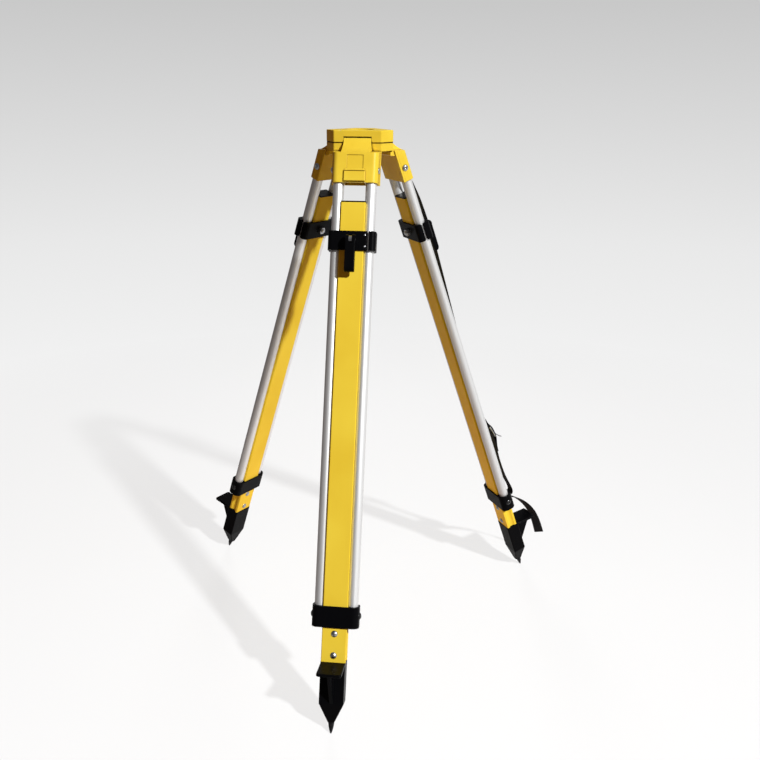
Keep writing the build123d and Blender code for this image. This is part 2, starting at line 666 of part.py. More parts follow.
def clamp_bolt():
    """Eye bolt through jaws and profile, with its neck flattened to the eye, and its nut."""
    pivot = -LEVER_PIVOT
    tail = JAW_FACE + NUT_HEIGHT + BOLT_TAIL
    bolt = cylinder_y(BOLT_D / 2, -JAW_FACE, tail, 0, -CLAMP_AT)
    bolt = chamfer(bolt.edges().group_by(Axis.Y)[-1], BOLT_D / 8)
    flats = (-BOLT_EYE_THICK / 2, BOLT_EYE_THICK / 2)
    neck = cylinder_y(BOLT_D / 2, pivot, -JAW_FACE, 0, -CLAMP_AT)
    neck &= block(flats, (pivot, -JAW_FACE), (-CLAMP_AT - BOLT_D, -CLAMP_AT + BOLT_D))
    bolt += neck
    bolt += cylinder_x(BOLT_EYE_D / 2, BOLT_EYE_THICK, 0, pivot, -CLAMP_AT)
    bolt -= cylinder_x(LEVER_PIN_D / 2 + RUNNING_FIT, LEVER_WIDTH, 0, pivot, -CLAMP_AT)
    hexagon = RegularPolygon(NUT_ACROSS / 2, 6, major_radius=False) - Circle(BOLT_D / 2 + FIXED_FIT)
    nut = Pos(0, JAW_FACE, -CLAMP_AT) * Rot(-90, 0, 0) * extrude(hexagon, amount=NUT_HEIGHT)
    return [bolt, nut]


def lever():
    """Cam lever, closed: its cam against the outer jaw and its paddle down along the leg."""
    pivot = -LEVER_PIVOT
    inner = pivot + LEVER_UNDERCUT
    outer = pivot - LEVER_CAM
    end = -CLAMP_AT - LEVER_LENGTH
    outline = Polyline(
        (outer, -CLAMP_AT), (inner, -CLAMP_AT), (inner - LEVER_UNDERCUT / 2, end), (outer, end), close=True
    )
    paddle = slab(outline, LEVER_WIDTH / 2)
    outer_end = paddle.edges().filter_by(Axis.X).group_by(Axis.Z)[0].sort_by(Axis.Y)[0]
    paddle = fillet([outer_end], LEVER_END_ROUND)
    inner_end = paddle.edges().filter_by(Axis.X).group_by(Axis.Z)[0].sort_by(Axis.Y)[-1]
    paddle = fillet([inner_end], LEVER_TIP_ROUND)
    paddle = fillet(paddle.edges().filter_by(Axis.Z).group_by(Axis.Y)[0], LEVER_EDGE)
    piece = paddle + cylinder_x(LEVER_CAM, LEVER_WIDTH, 0, pivot, -CLAMP_AT)
    slot_half = BOLT_EYE_THICK / 2 + SIDE_PLAY
    slot_low = -CLAMP_AT - BOLT_EYE_D / 2 - STOP_GAP
    slot_y = (outer - CUT, pivot + LEVER_CAM + CUT)
    piece -= block((-slot_half, slot_half), slot_y, (slot_low, -CLAMP_AT + LEVER_CAM + CUT))
    return piece - cylinder_x(LEVER_PIN_D / 2 + FIXED_FIT, 2 * LEVER_WIDTH, 0, pivot, -CLAMP_AT)


def lever_pin():
    return cylinder_x(LEVER_PIN_D / 2, LEVER_WIDTH, 0, -LEVER_PIVOT, -CLAMP_AT)


def rivets():
    """Dome rivets through the profile and the shoe's spigot, headed on both faces."""
    head = dome(RIVET_HEAD_D / 2, RIVET_HEAD_HEIGHT)
    pieces = []
    for at in (UPPER_RIVET, LOWER_RIVET):
        rivet = cylinder_y(RIVET_D / 2, -PROFILE_FACE, PROFILE_FACE, 0, -at)
        rivet += Pos(0, -PROFILE_FACE, -at) * Rot(90, 0, 0) * head
        rivet += Pos(0, PROFILE_FACE, -at) * Rot(-90, 0, 0) * head
        pieces.append(rivet)
    return pieces


def shoe():
    """Foot shoe: spigot in the profile, tapered body, and tread with its rib."""
    front = -PROFILE_FACE - SHOE_PROUD
    back = PROFILE_FACE + SHOE_BACK
    top = -PROFILE_END
    waist = top - SHOE_STRAIGHT
    tip = waist - SHOE_TAPER
    wide = PROFILE_WIDTH / 2
    tip_front = -SHOE_TIP / 2
    section = Pos(0, (front + back) / 2) * RectangleRounded(PROFILE_WIDTH, back - front, SHOE_ROUND)
    small = Pos(0, (tip_front + SHOE_TIP_BACK) / 2) * RectangleRounded(
        SHOE_TIP, SHOE_TIP_BACK - tip_front, SHOE_ROUND
    )
    body = Pos(0, 0, waist) * extrude(section, amount=SHOE_STRAIGHT)
    body += loft([Pos(0, 0, tip) * small, Pos(0, 0, waist) * section], ruled=True)
    drop = math.tan(math.radians(TREAD_TILT))
    edge = front - TREAD_REACH
    edge_top = top - TREAD_REACH * drop
    root = front + SHOE_ROUND
    root_top = top + (root - front) * drop
    plate = Polyline(
        (root, min(root_top, top)), (edge, edge_top), (edge, edge_top - TREAD_THICK),
        (root, min(root_top, top) - TREAD_THICK), close=True,
    )
    tread = slab(plate, wide)
    tread = fillet(tread.edges().filter_by(Axis.Z).group_by(Axis.Y)[0], TREAD_CORNER)
    tread = fillet(tread.edges().filter_by(Axis.X).group_by(Axis.Y)[0], TREAD_ROUND)
    rib_edge = edge + TREAD_ROUND
    rib_top = edge_top - TREAD_THICK / 2
    rib = Polyline((rib_edge, rib_top), (root, rib_top), (root, top - TREAD_RIB_DROP), close=True)
    piece = body + tread + slab(rib, TREAD_RIB / 2)
    spigot = extrude(profile_outline(PROFILE_WALL + FIXED_FIT), amount=SPIGOT_LENGTH)
    piece += Pos(0, 0, top) * spigot
    for at in (UPPER_RIVET, LOWER_RIVET):
        piece -= cylinder_y(RIVET_D / 2 + FIXED_FIT, -PROFILE_DEPTH, PROFILE_DEPTH, 0, -at)
    return piece - cylinder_z(SPIKE_SHANK_D / 2 + FIXED_FIT, tip - CUT, tip + SPIKE_SHANK_LENGTH)


def spike():
    """Steel point, its shank in the shoe."""
    point = (SPIKE_POINT / 2, -LEG_LENGTH)
    rim = (SPIKE_D / 2, -SHOE_END)
    middle = ((point[0] + rim[0]) / 2 + SPIKE_BULGE, (point[1] + rim[1]) / 2)
    shank_top = SPIKE_SHANK_LENGTH - SHOE_END
    shank = Polyline(
        rim, (SPIKE_SHANK_D / 2, -SHOE_END), (SPIKE_SHANK_D / 2, shank_top), (0, shank_top),
        (0, -LEG_LENGTH), point,
    )
    outline = ThreePointArc(point, middle, rim) + shank
    return revolve(Plane.XZ * make_face(outline), Axis.Z)


# Carry strap, in the frame of the leg that it hangs on


def slack_run():
    """The strap's slack run: across, beyond the jaws' face, and as a share of the way to the collar."""
    return [
        (1.5, 2.5, 0.011), (8, 7.5, 0.031), (17, 14.5, 0.063), (23.5, 19, 0.091), (STRAP_SIDE, 21, 0.123),
        (STRAP_SIDE, 22, 0.167), (STRAP_SIDE, 21.8, 0.214), (STRAP_SIDE, 19.5, 0.284),
        (STRAP_SIDE, 16, 0.376), (STRAP_SIDE, 12.5, 0.467), (STRAP_SIDE, 9.5, 0.558),
        (STRAP_SIDE, 8, 0.636), (STRAP_SIDE, 8.2, 0.701), (STRAP_SIDE, 9.8, 0.741),
        (STRAP_SIDE, 12.3, 0.772), (STRAP_SIDE, BUCKLE_PROUD, BUCKLE_SHARE), (STRAP_SIDE, 18.7, 0.829),
        (STRAP_SIDE, 21.2, 0.852), (STRAP_SIDE, 20.4, 0.885), (STRAP_SIDE, 18.6, 0.923),
        (STRAP_SIDE, 19.5, 0.962),
    ]


def down_at(share):
    """Down the leg, at a share of the way from the bracket to the collar."""
    return BRACKET_DROP + share * (COLLAR_TOP - BRACKET_DROP)


def strap_route():
    """Middle of the strap from the bracket to the collar: across, outward and down the leg."""
    seat = BRACKET_FRONT + STRAP_PLAY + STRAP_THICK / 2
    slot_end = BRACKET_DROP - BOSS_FOOT - STRAP_SLOT_DEPTH + STRAP_PLAY
    route = [(0, seat, slot_end), (0, seat, BRACKET_DROP)]
    for across, proud, share in slack_run():
        route.append((across, JAW_FACE + proud, down_at(share)))
    # The fold at the collar: beyond the collar's face and down from its upper edge.
    fold = [
        (20.5, -14), (22.5, 2), (25.5, 18), (27.5, 31), (27.6, 39), (25.5, 45), (21.5, 47), (17.5, 43.5),
        (14.5, 34), (12.3, 22), (10, 10), (7.9, 1.8), (5.9, -2.1), (3.7, -3.2), (1.9, -0.8),
    ]
    for proud, down in fold:
        route.append((STRAP_SIDE, COLLAR_FACE + proud, COLLAR_TOP + down))
    lug = COLLAR_FACE + STRAP_PLAY + STRAP_THICK / 2
    return route + [(STRAP_SIDE, lug, COLLAR_TOP + STRAP_LUG_DROP / 2), (STRAP_SIDE, lug, TUBE_END)]


def strap_proud(share):
    """How far the strap's middle stands beyond the jaws' face, between two points of its run."""
    run = slack_run()
    for (_, low, start), (_, high, end) in zip(run, run[1:]):
        if start <= share <= end:
            return low + (high - low) * (share - start) / (end - start)


def loop_route():
    """Middle of the loop sewn on the strap's outer side, out over the buckle's roller and frame."""
    # Off the strap's outer side, and as a share of the way to the collar.
    bow = [
        (0, 0.775), (0, 0.787), (2.2, 0.797), (5.1, 0.806), (6.2, 0.818), (5.9, 0.8415), (3, 0.8556),
        (1.2, 0.868), (0, 0.88), (0, 0.895),
    ]
    seat = JAW_FACE + STRAP_THICK + STRAP_PLAY
    return [(STRAP_SIDE, seat + strap_proud(share) + lift, down_at(share)) for lift, share in bow]


def tail_route():
    """Middle of the free end, from the collar, out over the tread, to the cut end."""
    lug = COLLAR_FACE + 2 * STRAP_PLAY + 1.5 * STRAP_THICK
    route = [(STRAP_SIDE, lug, COLLAR_TOP + STRAP_LUG_DROP), (STRAP_SIDE, lug, TUBE_END)]
    # Beside the strap's line, beyond the collar's face and down from the tubes' ends.
    hang = [
        (0, 6, 7.5), (-1, 15, 15.5), (-3, 28, 25.5), (-6, 41, 41), (-9, 52, 61), (-12, 59, 83),
        (-14, 61.5, 108), (-15, 61.5, 130), (-15, 61, 150),
    ]
    for aside, proud, down in hang:
        route.append((STRAP_SIDE + aside, COLLAR_FACE + proud, TUBE_END + down))
    return route


def band(route, twist=0.0):
    """Webbing along a route, flat at its first two points and turned evenly up to the last."""
    points = [Vector(across, -out, -down) for across, out, down in route]
    last = len(points) - 1
    sections = []
    for index, point in enumerate(points):
        along = (points[min(index + 1, last)] - points[max(index - 1, 0)]).normalized()
        across = (Vector(1, 0, 0) - along * along.X).normalized()
        turn = twist * max(index - 1, 0) / (last - 1)
        plane = Plane(point, x_dir=across.rotate(Axis((0, 0, 0), along), turn), z_dir=along)
        sections.append(plane * Rectangle(STRAP_WIDTH, STRAP_THICK))
    return Part() + [loft(pair, ruled=True) for pair in zip(sections, sections[1:])]


def strap_hole(radius):
    """The hole for the strap's screw, through both webbings into the collar."""
    outer = COLLAR_FACE + 3 * STRAP_PLAY + 2 * STRAP_THICK
    return cylinder_y(radius, -outer - CUT, STRAP_SCREW_LENGTH - outer, STRAP_SIDE, -STRAP_SCREW_AT)


def carry_strap():
    return band(strap_route()) - strap_hole(STRAP_SCREW_D / 2 + STRAP_PLAY)


def strap_tail():
    return band(tail_route(), TAIL_TWIST) - strap_hole(STRAP_SCREW_D / 2 + STRAP_PLAY)


def strap_loop():
    return band(loop_route()) - buckle_place() * buckle_prong(STRAP_PLAY)


def strap_screw():
    face = COLLAR_FACE + 3 * STRAP_PLAY + 2 * STRAP_THICK
    screw = dome_screw(STRAP_SCREW_HEAD_D, STRAP_SCREW_HEAD_HEIGHT, STRAP_SCREW_D, STRAP_SCREW_LENGTH)
    return Pos(STRAP_SIDE, -face, -STRAP_SCREW_AT) * Rot(90, 0, 0) * screw


def buckle_place():
    """Middle of the buckle's roller, seated on the strap, with the frame leaning out below it."""
    face = JAW_FACE + BUCKLE_PROUD + STRAP_THICK / 2 + STRAP_PLAY + BUCKLE_ROLLER_D / 2
    return Pos(STRAP_SIDE, -face, -down_at(BUCKLE_SHARE)) * Rot(90 - BUCKLE_TILT, 0, 0)


def buckle_prong(clearance=0.0):
    """The prong, from the roller out through the webbing loop."""
    prong = cylinder_z(BUCKLE_PRONG_D / 2 + clearance, 0, BUCKLE_PRONG + clearance)
    return Rot(90 - BUCKLE_PRONG_TILT, 0, 0) * prong


def strap_buckle():
    """Frame, roller and prong."""
    window = STRAP_WIDTH + 2 * STRAP_PLAY
    outline = RectangleRounded(window + 2 * BUCKLE_BAR, BUCKLE_LENGTH, BUCKLE_BAR)
    outline -= Rectangle(window, BUCKLE_LENGTH - 2 * BUCKLE_BAR)
    frame = Pos(0, (BUCKLE_BAR - BUCKLE_LENGTH) / 2, -BUCKLE_BAR / 2) * extrude(outline, amount=BUCKLE_BAR)
    roller = cylinder_x(BUCKLE_ROLLER_D / 2, window, 0, 0, 0)
    return buckle_place() * (frame + roller + buckle_prong())


def save(name, pieces):
    """Write one sub-part, of one solid or of several alike."""
    solids = pieces if isinstance(pieces, list) else [pieces]
    found = []
    for piece in solids:
        found.extend(piece.solids())
    shape = found[0] if len(found) == 1 else Compound(children=found)
    export_step(shape, f"parts/{name}.step")


def main():
    os.makedirs("parts", exist_ok=True)
    save("head_plate", head_plate())
    save("head_base", head_base())
    save("hinge_pins", hinge_pins())
    save("head_screws", head_screws())
    save("swivel_arm", swivel_arm())
    save("arm_pivot", arm_pivot())
    save("guide_bush", guide_bush())
    save("retaining_ring", retaining_ring())
    save("fixing_screw", fixing_screw())
    save("screw_knob", screw_knob())
    leg_pieces = {
        "bracket": bracket(),
        "tube_left": tube(-1),
        "tube_right": tube(1),
        "tube_screws": tube_screws(),
        "collar": collar(),
        "profile": profile(),
        "end_cap": end_cap(),
        "clamp_bolt": clamp_bolt(),
        "lever": lever(),
        "lever_pin": lever_pin(),
        "rivets": rivets(),
        "shoe": shoe(),
        "spike": spike(),
    }
    for leg, turn in LEGS.items():
        place = leg_frame(turn)
        for name, pieces in leg_pieces.items():
            solids = pieces if isinstance(pieces, list) else [pieces]
            if name == "collar" and leg == STRAP_LEG:
                solids = [solids[0] - strap_hole(STRAP_SCREW_D / 2 + FIXED_FIT)]
            save(f"{leg}_{name}", [place * piece for piece in solids])
        save(f"{leg}_outer_jaw", place * outer_jaw(HOOK_SIDE[leg]))
        save(f"{leg}_inner_jaw", place * inner_jaw(HOOK_SIDE[leg]))
    place = leg_frame(LEGS[STRAP_LEG])
    save("carry_strap", place * carry_strap())
    save("strap_loop", place * strap_loop())
    save("strap_tail", place * strap_tail())
    save("strap_buckle", place * strap_buckle())
    save("strap_screw", place * strap_screw())


main()
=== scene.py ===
"""Looks of the construction tripod: finishes, webbing, small fasteners, light and camera. Metres."""

import json
import math

import bmesh
import bpy
from mathutils import Matrix, Vector


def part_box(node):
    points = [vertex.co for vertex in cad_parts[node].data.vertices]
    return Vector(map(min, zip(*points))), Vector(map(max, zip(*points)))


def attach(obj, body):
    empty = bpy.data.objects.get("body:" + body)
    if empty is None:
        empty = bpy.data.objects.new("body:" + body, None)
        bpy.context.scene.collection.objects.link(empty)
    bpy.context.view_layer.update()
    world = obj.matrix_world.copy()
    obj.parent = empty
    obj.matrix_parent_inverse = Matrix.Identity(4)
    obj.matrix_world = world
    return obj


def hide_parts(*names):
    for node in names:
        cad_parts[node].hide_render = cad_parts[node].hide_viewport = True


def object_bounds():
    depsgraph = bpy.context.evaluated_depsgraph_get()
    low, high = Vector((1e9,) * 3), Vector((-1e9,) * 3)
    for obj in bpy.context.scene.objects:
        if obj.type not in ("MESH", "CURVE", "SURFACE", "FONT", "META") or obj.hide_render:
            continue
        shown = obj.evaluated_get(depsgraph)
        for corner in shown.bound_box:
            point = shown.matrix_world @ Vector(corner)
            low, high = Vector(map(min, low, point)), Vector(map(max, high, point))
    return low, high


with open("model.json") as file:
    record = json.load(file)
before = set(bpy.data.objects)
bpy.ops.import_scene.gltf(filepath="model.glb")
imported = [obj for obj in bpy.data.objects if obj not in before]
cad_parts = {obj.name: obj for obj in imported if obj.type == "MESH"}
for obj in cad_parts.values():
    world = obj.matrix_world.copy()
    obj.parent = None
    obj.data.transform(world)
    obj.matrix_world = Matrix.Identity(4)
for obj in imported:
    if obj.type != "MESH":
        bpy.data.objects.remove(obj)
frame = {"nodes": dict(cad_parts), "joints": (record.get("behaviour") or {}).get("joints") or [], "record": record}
cad_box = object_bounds()

MM = 0.001
LEGS = ("front", "right", "left")
STRAP_LEG = "right"
STRAP_BODY = f"{STRAP_LEG}_leg"

# Camera of the photograph: place in metres, turns in degrees, lens and sensor in millimetres
CAMERA_PLACE = (0.2188, -1.6643, 1.0999)
CAMERA_YAW = -6.15
CAMERA_PITCH = -18.7
CAMERA_ROLL = 0.38
CAMERA_LENS = 40.46
SENSOR = 36.0

# Floor: its cover fades between two shares of its radius
FLOOR_R = 2.4
FLOOR_SIDES = 96
FLOOR_COVER = 0.22
FLOOR_FADE_FROM = 0.3
FLOOR_FADE_TO = 0.98
FLOOR_COLOUR = (0.97, 0.985, 0.99, 1)

# World: even light, and a backdrop whose greys go with the sine of how far up the view looks
WORLD_LIGHT = 0.09
WORLD_TINT = (1.0, 0.46, 0.26, 1)
BACKDROP = ((-0.67, 1.0), (-0.51, 0.973), (-0.34, 0.913), (-0.16, 0.815), (0.09, 0.578))

# Backdrop that metal mirrors: full toward one heading, a share of that on the other side
BRIGHT_HEADING = (0.85, 0.5, 0)
BRIGHT_SPAN = 0.7
DARK_SIDE = 0.16

# Lamps: places and aims in metres
LAMP_AIM = (0, 0, 0.5)
KEY_PLACE = (5.19, -4.84, 6.04)
FILL_PLACE = (-2.8, -1.8, 1.8)
BACK_PLACE = (-0.6, 3.4, 0.9)
BOUNCE_PLACE = (0, 0, 0.01)
BOUNCE_AIM = (0, 0, 1)
WHITE_LIGHT = (1, 1, 1)
WARM_LIGHT = (1.0, 0.54, 0.28)

# Colours, linear
YELLOW = (0.85, 0.635, 0.054, 1)
YELLOW_DEEP = (0.79, 0.56, 0.040, 1)
# Painted shade for gaps: the first in the moulded plastic, the second in the powder coat
PLASTIC_GAP_SHADE = (0.34, 0.19, 0.015, 1)
COAT_GAP_SHADE = (0.06, 0.03, 0.004, 1)
BLACK = (0.0025, 0.0026, 0.0032, 1)
BLACK_GREY = (0.010, 0.010, 0.011, 1)
FORGE_GREY = (0.025, 0.025, 0.027, 1)
ALUMINIUM = (0.84, 0.85, 0.85, 1)
ALUMINIUM_DULL = (0.72, 0.73, 0.73, 1)
ZINC = (0.74, 0.75, 0.77, 1)
ZINC_DULL = (0.55, 0.56, 0.58, 1)
STEEL = (0.50, 0.50, 0.51, 1)
STEEL_DULL = (0.36, 0.36, 0.37, 1)
BRASS = (0.70, 0.50, 0.20, 1)
BRASS_DULL = (0.56, 0.38, 0.14, 1)
WEB_DARK = (0.0025, 0.0025, 0.003, 1)
WEB_LIGHT = (0.009, 0.009, 0.010, 1)
THREAD_LIGHT = (0.020, 0.020, 0.022, 1)

# Stretches of a noise that spread out over a change of colour or of roughness
PATCHES = (0.35, 0.7)
STREAKS = (0.3, 0.75)
FLAKES = (0.4, 0.75)
SWING = (0.3, 0.7)

# Painted highlight on edges and painted shade in gaps: turn of the surface, openness, share of the edge highlight
EDGE_TURN = (0.98, 0.80)
GAP_OPEN = (0.9, 0.45)
EDGE_HIGHLIGHT = 0.6
BEVEL_SAMPLES = 6
GAP_SAMPLES = 8

# Painted shade along the head's parting line: half width in metres, and how far it fades in half widths
PARTING_HALF = 0.0009
PARTING_FADE = 1.5

# Weave of the webbing: yarns per metre, and shares of crossings, warp and fuzz
YARNS_ACROSS = 900
YARNS_ALONG = 620
CROSSING_SHARE = 0.35
WARP_SHARE = 0.15
FUZZ_SHARE = 0.25

# Solids with a polish that their slot doesn't have
POLISHED = ("_rivets", "_clamp_bolt")

# Places on a leg, in millimetres: down from the hinge, outward from the tubes' plane
LEG_OFFSET = 17.2
BRACKET_DROP = 82.0
BRACKET_SIDE = 42.5
BRACKET_SCREW_AT = 57.0
COLLAR_SIDE = 43.0
COLLAR_FACE = 15.9
COLLAR_TOP = 849.0
COLLAR_SCREW_AT = 866.5
TUBE_END = 884.0
JAW_FACE = 15.95
CLAMP_AT = 188.5

# Dome screws that hold the tubes, and pin ends in the jaws, in millimetres
DOME_R = 6.2
DOME_HEIGHT = 3.4
DOME_RIM = 0.5
SOCKET_R = 2.3
SOCKET_BRIM_R = 2.875
SOCKET_DEPTH = 1.7
SOCKET_TIP_R = 0.3
SOCKET_TIP = 0.4
PIN_R = 1.9
PIN_TIP_R = 0.2
PIN_HEIGHT = 0.7
PIN_RIM = PIN_HEIGHT / 3
PIN_STEPS = 16
PIN_ACROSS = {"front": 24.0, "right": 24.0, "left": -24.0}
PIN_SPREAD = 10.5

# Fixing screw, in millimetres down from the head's top
SCREW_R = 7.9375
SCREW_PITCH = 2.309
SCREW_TIP_DROP = 3.0
SCREW_STEPS = 36
THREAD_DEPTH = 1.2
THREAD_FLANK = 1.25
THREAD_CHAMFER = 1.5
ROWS_PER_PITCH = 8
GROOVE_R = 6.9375
GROOVE_TOP = 32.5
GROOVE_BOTTOM = 34.7
GROOVE_EDGE = 0.01
SHANK_BOTTOM = 70.9

# Carry strap, in millimetres and its twist in degrees; its ends lie in the bracket's slot and on the collar
STRAP_WIDTH = 22.0
STRAP_THICK = 1.9
STRAP_SELVEDGE = 0.7
STRAP_SIDE = 26.0
STRAP_PLAY = 0.2
STRAP_SLOT = 14.7
STRAP_SLOT_END = 69.2
STRAP_LUG = 17.1
STRAP_LUG_DROP = 11.0
TAIL_LUG = 19.3
TAIL_TWIST = -48.0

# Points of a smooth line between two places of its route
LINE_STEPS = 8

# Stitches, in millimetres, and rows of them from the ends of the loop and of the tail
STITCH = 2.8
STITCH_PITCH = 3.5
STITCH_MARGIN = 2.0
STITCH_THREAD = 0.8
STITCH_TIP_R = 0.15
STITCH_STEPS = 8
LOOP_ROWS = (4.0, 8.5)
HEM_ROWS = (12.0, 8.0)

# Buckle, in millimetres and tilts in degrees; its bar lies at a share of the way from bracket to collar
BUCKLE_SHARE = 0.807
BUCKLE_PROUD = 16.4
BUCKLE_TILT = 11.5
BUCKLE_WIRE = 2.6
BUCKLE_WIDTH = 27.6
BUCKLE_LENGTH = 30.0
BUCKLE_CORNER = 3.0
ROLLER_R = 2.1
ROLLER_LENGTH = 22.0
ROLLER_LIP = 0.4
PRONG_WIRE = 2.5
PRONG_LENGTH = 47.0
PRONG_TILT = 8.0
PRONG_BEND = 9.0
PRONG_STEPS = 12
PRONG_EYE_R = 2.4
PRONG_EYE_WIRE = 1.5
PRONG_EYE_STEPS = 16
WIRE_ROUNDING = 4


# Frame of each leg


class Leg:
    """Axes and origin of a leg, read from its joints."""

    def __init__(self, name):
        joints = {joint["name"]: joint for joint in frame["joints"]}
        fold = joints[f"{name}_leg_fold"]
        self.name = name
        self.hinge = Vector(fold["pos_m"])
        self.across = Vector(fold["axis"]).normalized()
        self.down = Vector(joints[f"{name}_leg_slide"]["axis"]).normalized()
        self.out = self.down.cross(self.across)

    def point(self, across, out, down):
        """A place on the leg, given in millimetres."""
        offset = self.across * across + self.out * (out + LEG_OFFSET) + self.down * down
        return self.hinge + offset * MM

    def place(self, across, out, down, axis):
        """Matrix that sets a piece on the leg with its own Z along an axis."""
        turn = axis.to_track_quat("Z", "Y").to_matrix().to_4x4()
        return Matrix.Translation(self.point(across, out, down)) @ turn

    def flat(self, across, out, down, tilt):
        """Matrix with X across the leg, Y up along it and Z outward, its upper end tilted inward."""
        turn = math.radians(tilt)
        rise = -self.down * math.cos(turn) - self.out * math.sin(turn)
        face = self.out * math.cos(turn) - self.down * math.sin(turn)
        axes = Matrix((self.across, rise, face)).transposed().to_4x4()
        return Matrix.Translation(self.point(across, out, down)) @ axes


LEG = {name: Leg(name) for name in LEGS}


# Material building blocks


class Nodes:
    """A node tree, and short ways to add nodes to it."""

    def __init__(self, tree):
        self.tree = tree

    def node(self, kind, **values):
        """A new node; each value goes to its property of that name, or else to its socket."""
        made = self.tree.nodes.new(kind)
        for key, value in values.items():
            if hasattr(made, key):
                setattr(made, key, value)
            else:
                made.inputs[key.replace("_", " ")].default_value = value
        return made

    def link(self, source, target):
        self.tree.links.new(source, target)

    def feed(self, socket, value):
        """Link a socket to another node's output, or give it a constant."""
        if isinstance(value, bpy.types.NodeSocket):
            self.link(value, socket)
        else:
            socket.default_value = value

    def remap(self, value, low, high, new_low=0.0, new_high=1.0, kind="LINEAR"):
        """Spread a range of a value over a new range, and hold it there beyond."""
        ramp = self.node("ShaderNodeMapRange", interpolation_type=kind, From_Min=low, From_Max=high)
        ramp.inputs["To Min"].default_value = new_low
        ramp.inputs["To Max"].default_value = new_high
        self.link(value, ramp.inputs["Value"])
        return ramp.outputs["Result"]

    def math(self, operation, first, second=0.0):
        made = self.node("ShaderNodeMath", operation=operation)
        self.feed(made.inputs[0], first)
        self.feed(made.inputs[1], second)
        return made.outputs["Value"]

    def dot(self, first, second):
        made = self.node("ShaderNodeVectorMath", operation="DOT_PRODUCT")
        self.feed(made.inputs[0], first)
        self.feed(made.inputs[1], second)
        return made.outputs["Value"]

    def split(self, vector):
        """Outputs X, Y and Z of a vector."""
        parts = self.node("ShaderNodeSeparateXYZ")
        self.link(vector, parts.inputs["Vector"])
        return parts.outputs


class Shader(Nodes):
    """A material with one Principled shader."""

    def __init__(self, name, colour, roughness, metallic=0.0):
        self.material = bpy.data.materials.new(name)
        self.material.use_nodes = True
        super().__init__(self.material.node_tree)
        self.base = self.tree.nodes["Principled BSDF"]
        self.fix(Base_Color=colour, Roughness=roughness, Metallic=metallic)

    def fix(self, **values):
        """Set constants on the shader's own sockets."""
        for key, value in values.items():
            self.base.inputs[key.replace("_", " ")].default_value = value

    def place(self):
        """Coordinates that ride with the piece, in metres."""
        return self.node("ShaderNodeTexCoord").outputs["Object"]

    def leg_place(self, leg, stretch):
        """Coordinates along a leg, squeezed along its length by stretch."""
        place = self.place()
        parts = self.node("ShaderNodeCombineXYZ")
        for index, axis in enumerate((leg.across, leg.out, leg.down * stretch)):
            self.link(self.dot(place, axis), parts.inputs[index])
        return parts.outputs["Vector"]

    def noise(self, vector, scale, detail=2.0, roughness=0.5):
        noise = self.node("ShaderNodeTexNoise", Scale=scale, Detail=detail, Roughness=roughness)
        self.link(vector, noise.inputs["Vector"])
        return noise.outputs["Fac"]

    def wave(self, value, per_metre):
        """A sine wave along a length."""
        return self.math("SINE", self.math("MULTIPLY", value, 2 * math.pi * per_metre))

    def mix(self, factor, first, second):
        mix = self.node("ShaderNodeMix", data_type="RGBA")
        self.link(factor, mix.inputs["Factor"])
        self.feed(mix.inputs[6], first)
        self.feed(mix.inputs[7], second)
        return mix.outputs[2]

    def edges(self, radius):
        """1 on edges, 0 on flat ground, from how far rounding would turn the surface."""
        bevel = self.node("ShaderNodeBevel", samples=BEVEL_SAMPLES, Radius=radius)
        normal = self.node("ShaderNodeNewGeometry").outputs["Normal"]
        return self.remap(self.dot(bevel.outputs["Normal"], normal), *EDGE_TURN)

    def gap_shade(self, reach):
        """Mask of painted shade: 1 deep in narrow gaps, less in inner corners, 0 on open ground."""
        gap = self.node("ShaderNodeAmbientOcclusion", samples=GAP_SAMPLES, Distance=reach)
        return self.remap(gap.outputs["AO"], *GAP_OPEN)

    def line_at(self, height, half, fade):
        """1 within half a width of a height, down to 0 at as many half widths as fade says."""
        off = self.math("ABSOLUTE", self.math("SUBTRACT", self.split(self.place())["Z"], height))
        return self.remap(off, half, fade * half, 1.0, 0.0)

    def bump(self, height, distance, strength=1.0, round_edges=0.0):
        """Bumps up to a distance in metres, over edges that may look rounded."""
        bump = self.node("ShaderNodeBump", Strength=strength, Distance=distance)
        self.link(height, bump.inputs["Height"])
        if round_edges:
            bevel = self.node("ShaderNodeBevel", samples=BEVEL_SAMPLES, Radius=round_edges)
            self.link(bevel.outputs["Normal"], bump.inputs["Normal"])
        self.link(bump.outputs["Normal"], self.base.inputs["Normal"])

    def colour(self, socket):
        self.link(socket, self.base.inputs["Base Color"])

    def rough(self, noise, low, high):
        """Roughness that swings with a noise."""
        self.link(self.remap(noise, *SWING, low, high), self.base.inputs["Roughness"])


# Finishes


def powder_coat():
    """Yellow powder coat: fine orange peel, a slight drift of colour, painted shade in gaps and along the parting
    line.
    """
    shader = Shader("yellow_powder_coat", YELLOW, roughness=0.42)
    place = shader.place()
    drift = shader.remap(shader.noise(place, scale=14, detail=3), *PATCHES)
    parting = shader.line_at(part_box("head_base")[1].z, PARTING_HALF, PARTING_FADE)
    # Painted shade: gaps and a band along the parting line are darkened toward dark brown
    painted_shade = shader.math("MAXIMUM", shader.gap_shade(reach=0.006), parting)
    shader.colour(shader.mix(painted_shade, shader.mix(drift, YELLOW, YELLOW_DEEP), COAT_GAP_SHADE))
    shader.rough(shader.noise(place, scale=60, detail=4), low=0.36, high=0.48)
    shader.bump(shader.noise(place, scale=700), distance=0.00025, strength=0.35, round_edges=0.0006)
    shader.fix(Specular_IOR_Level=0.04)
    return shader.material


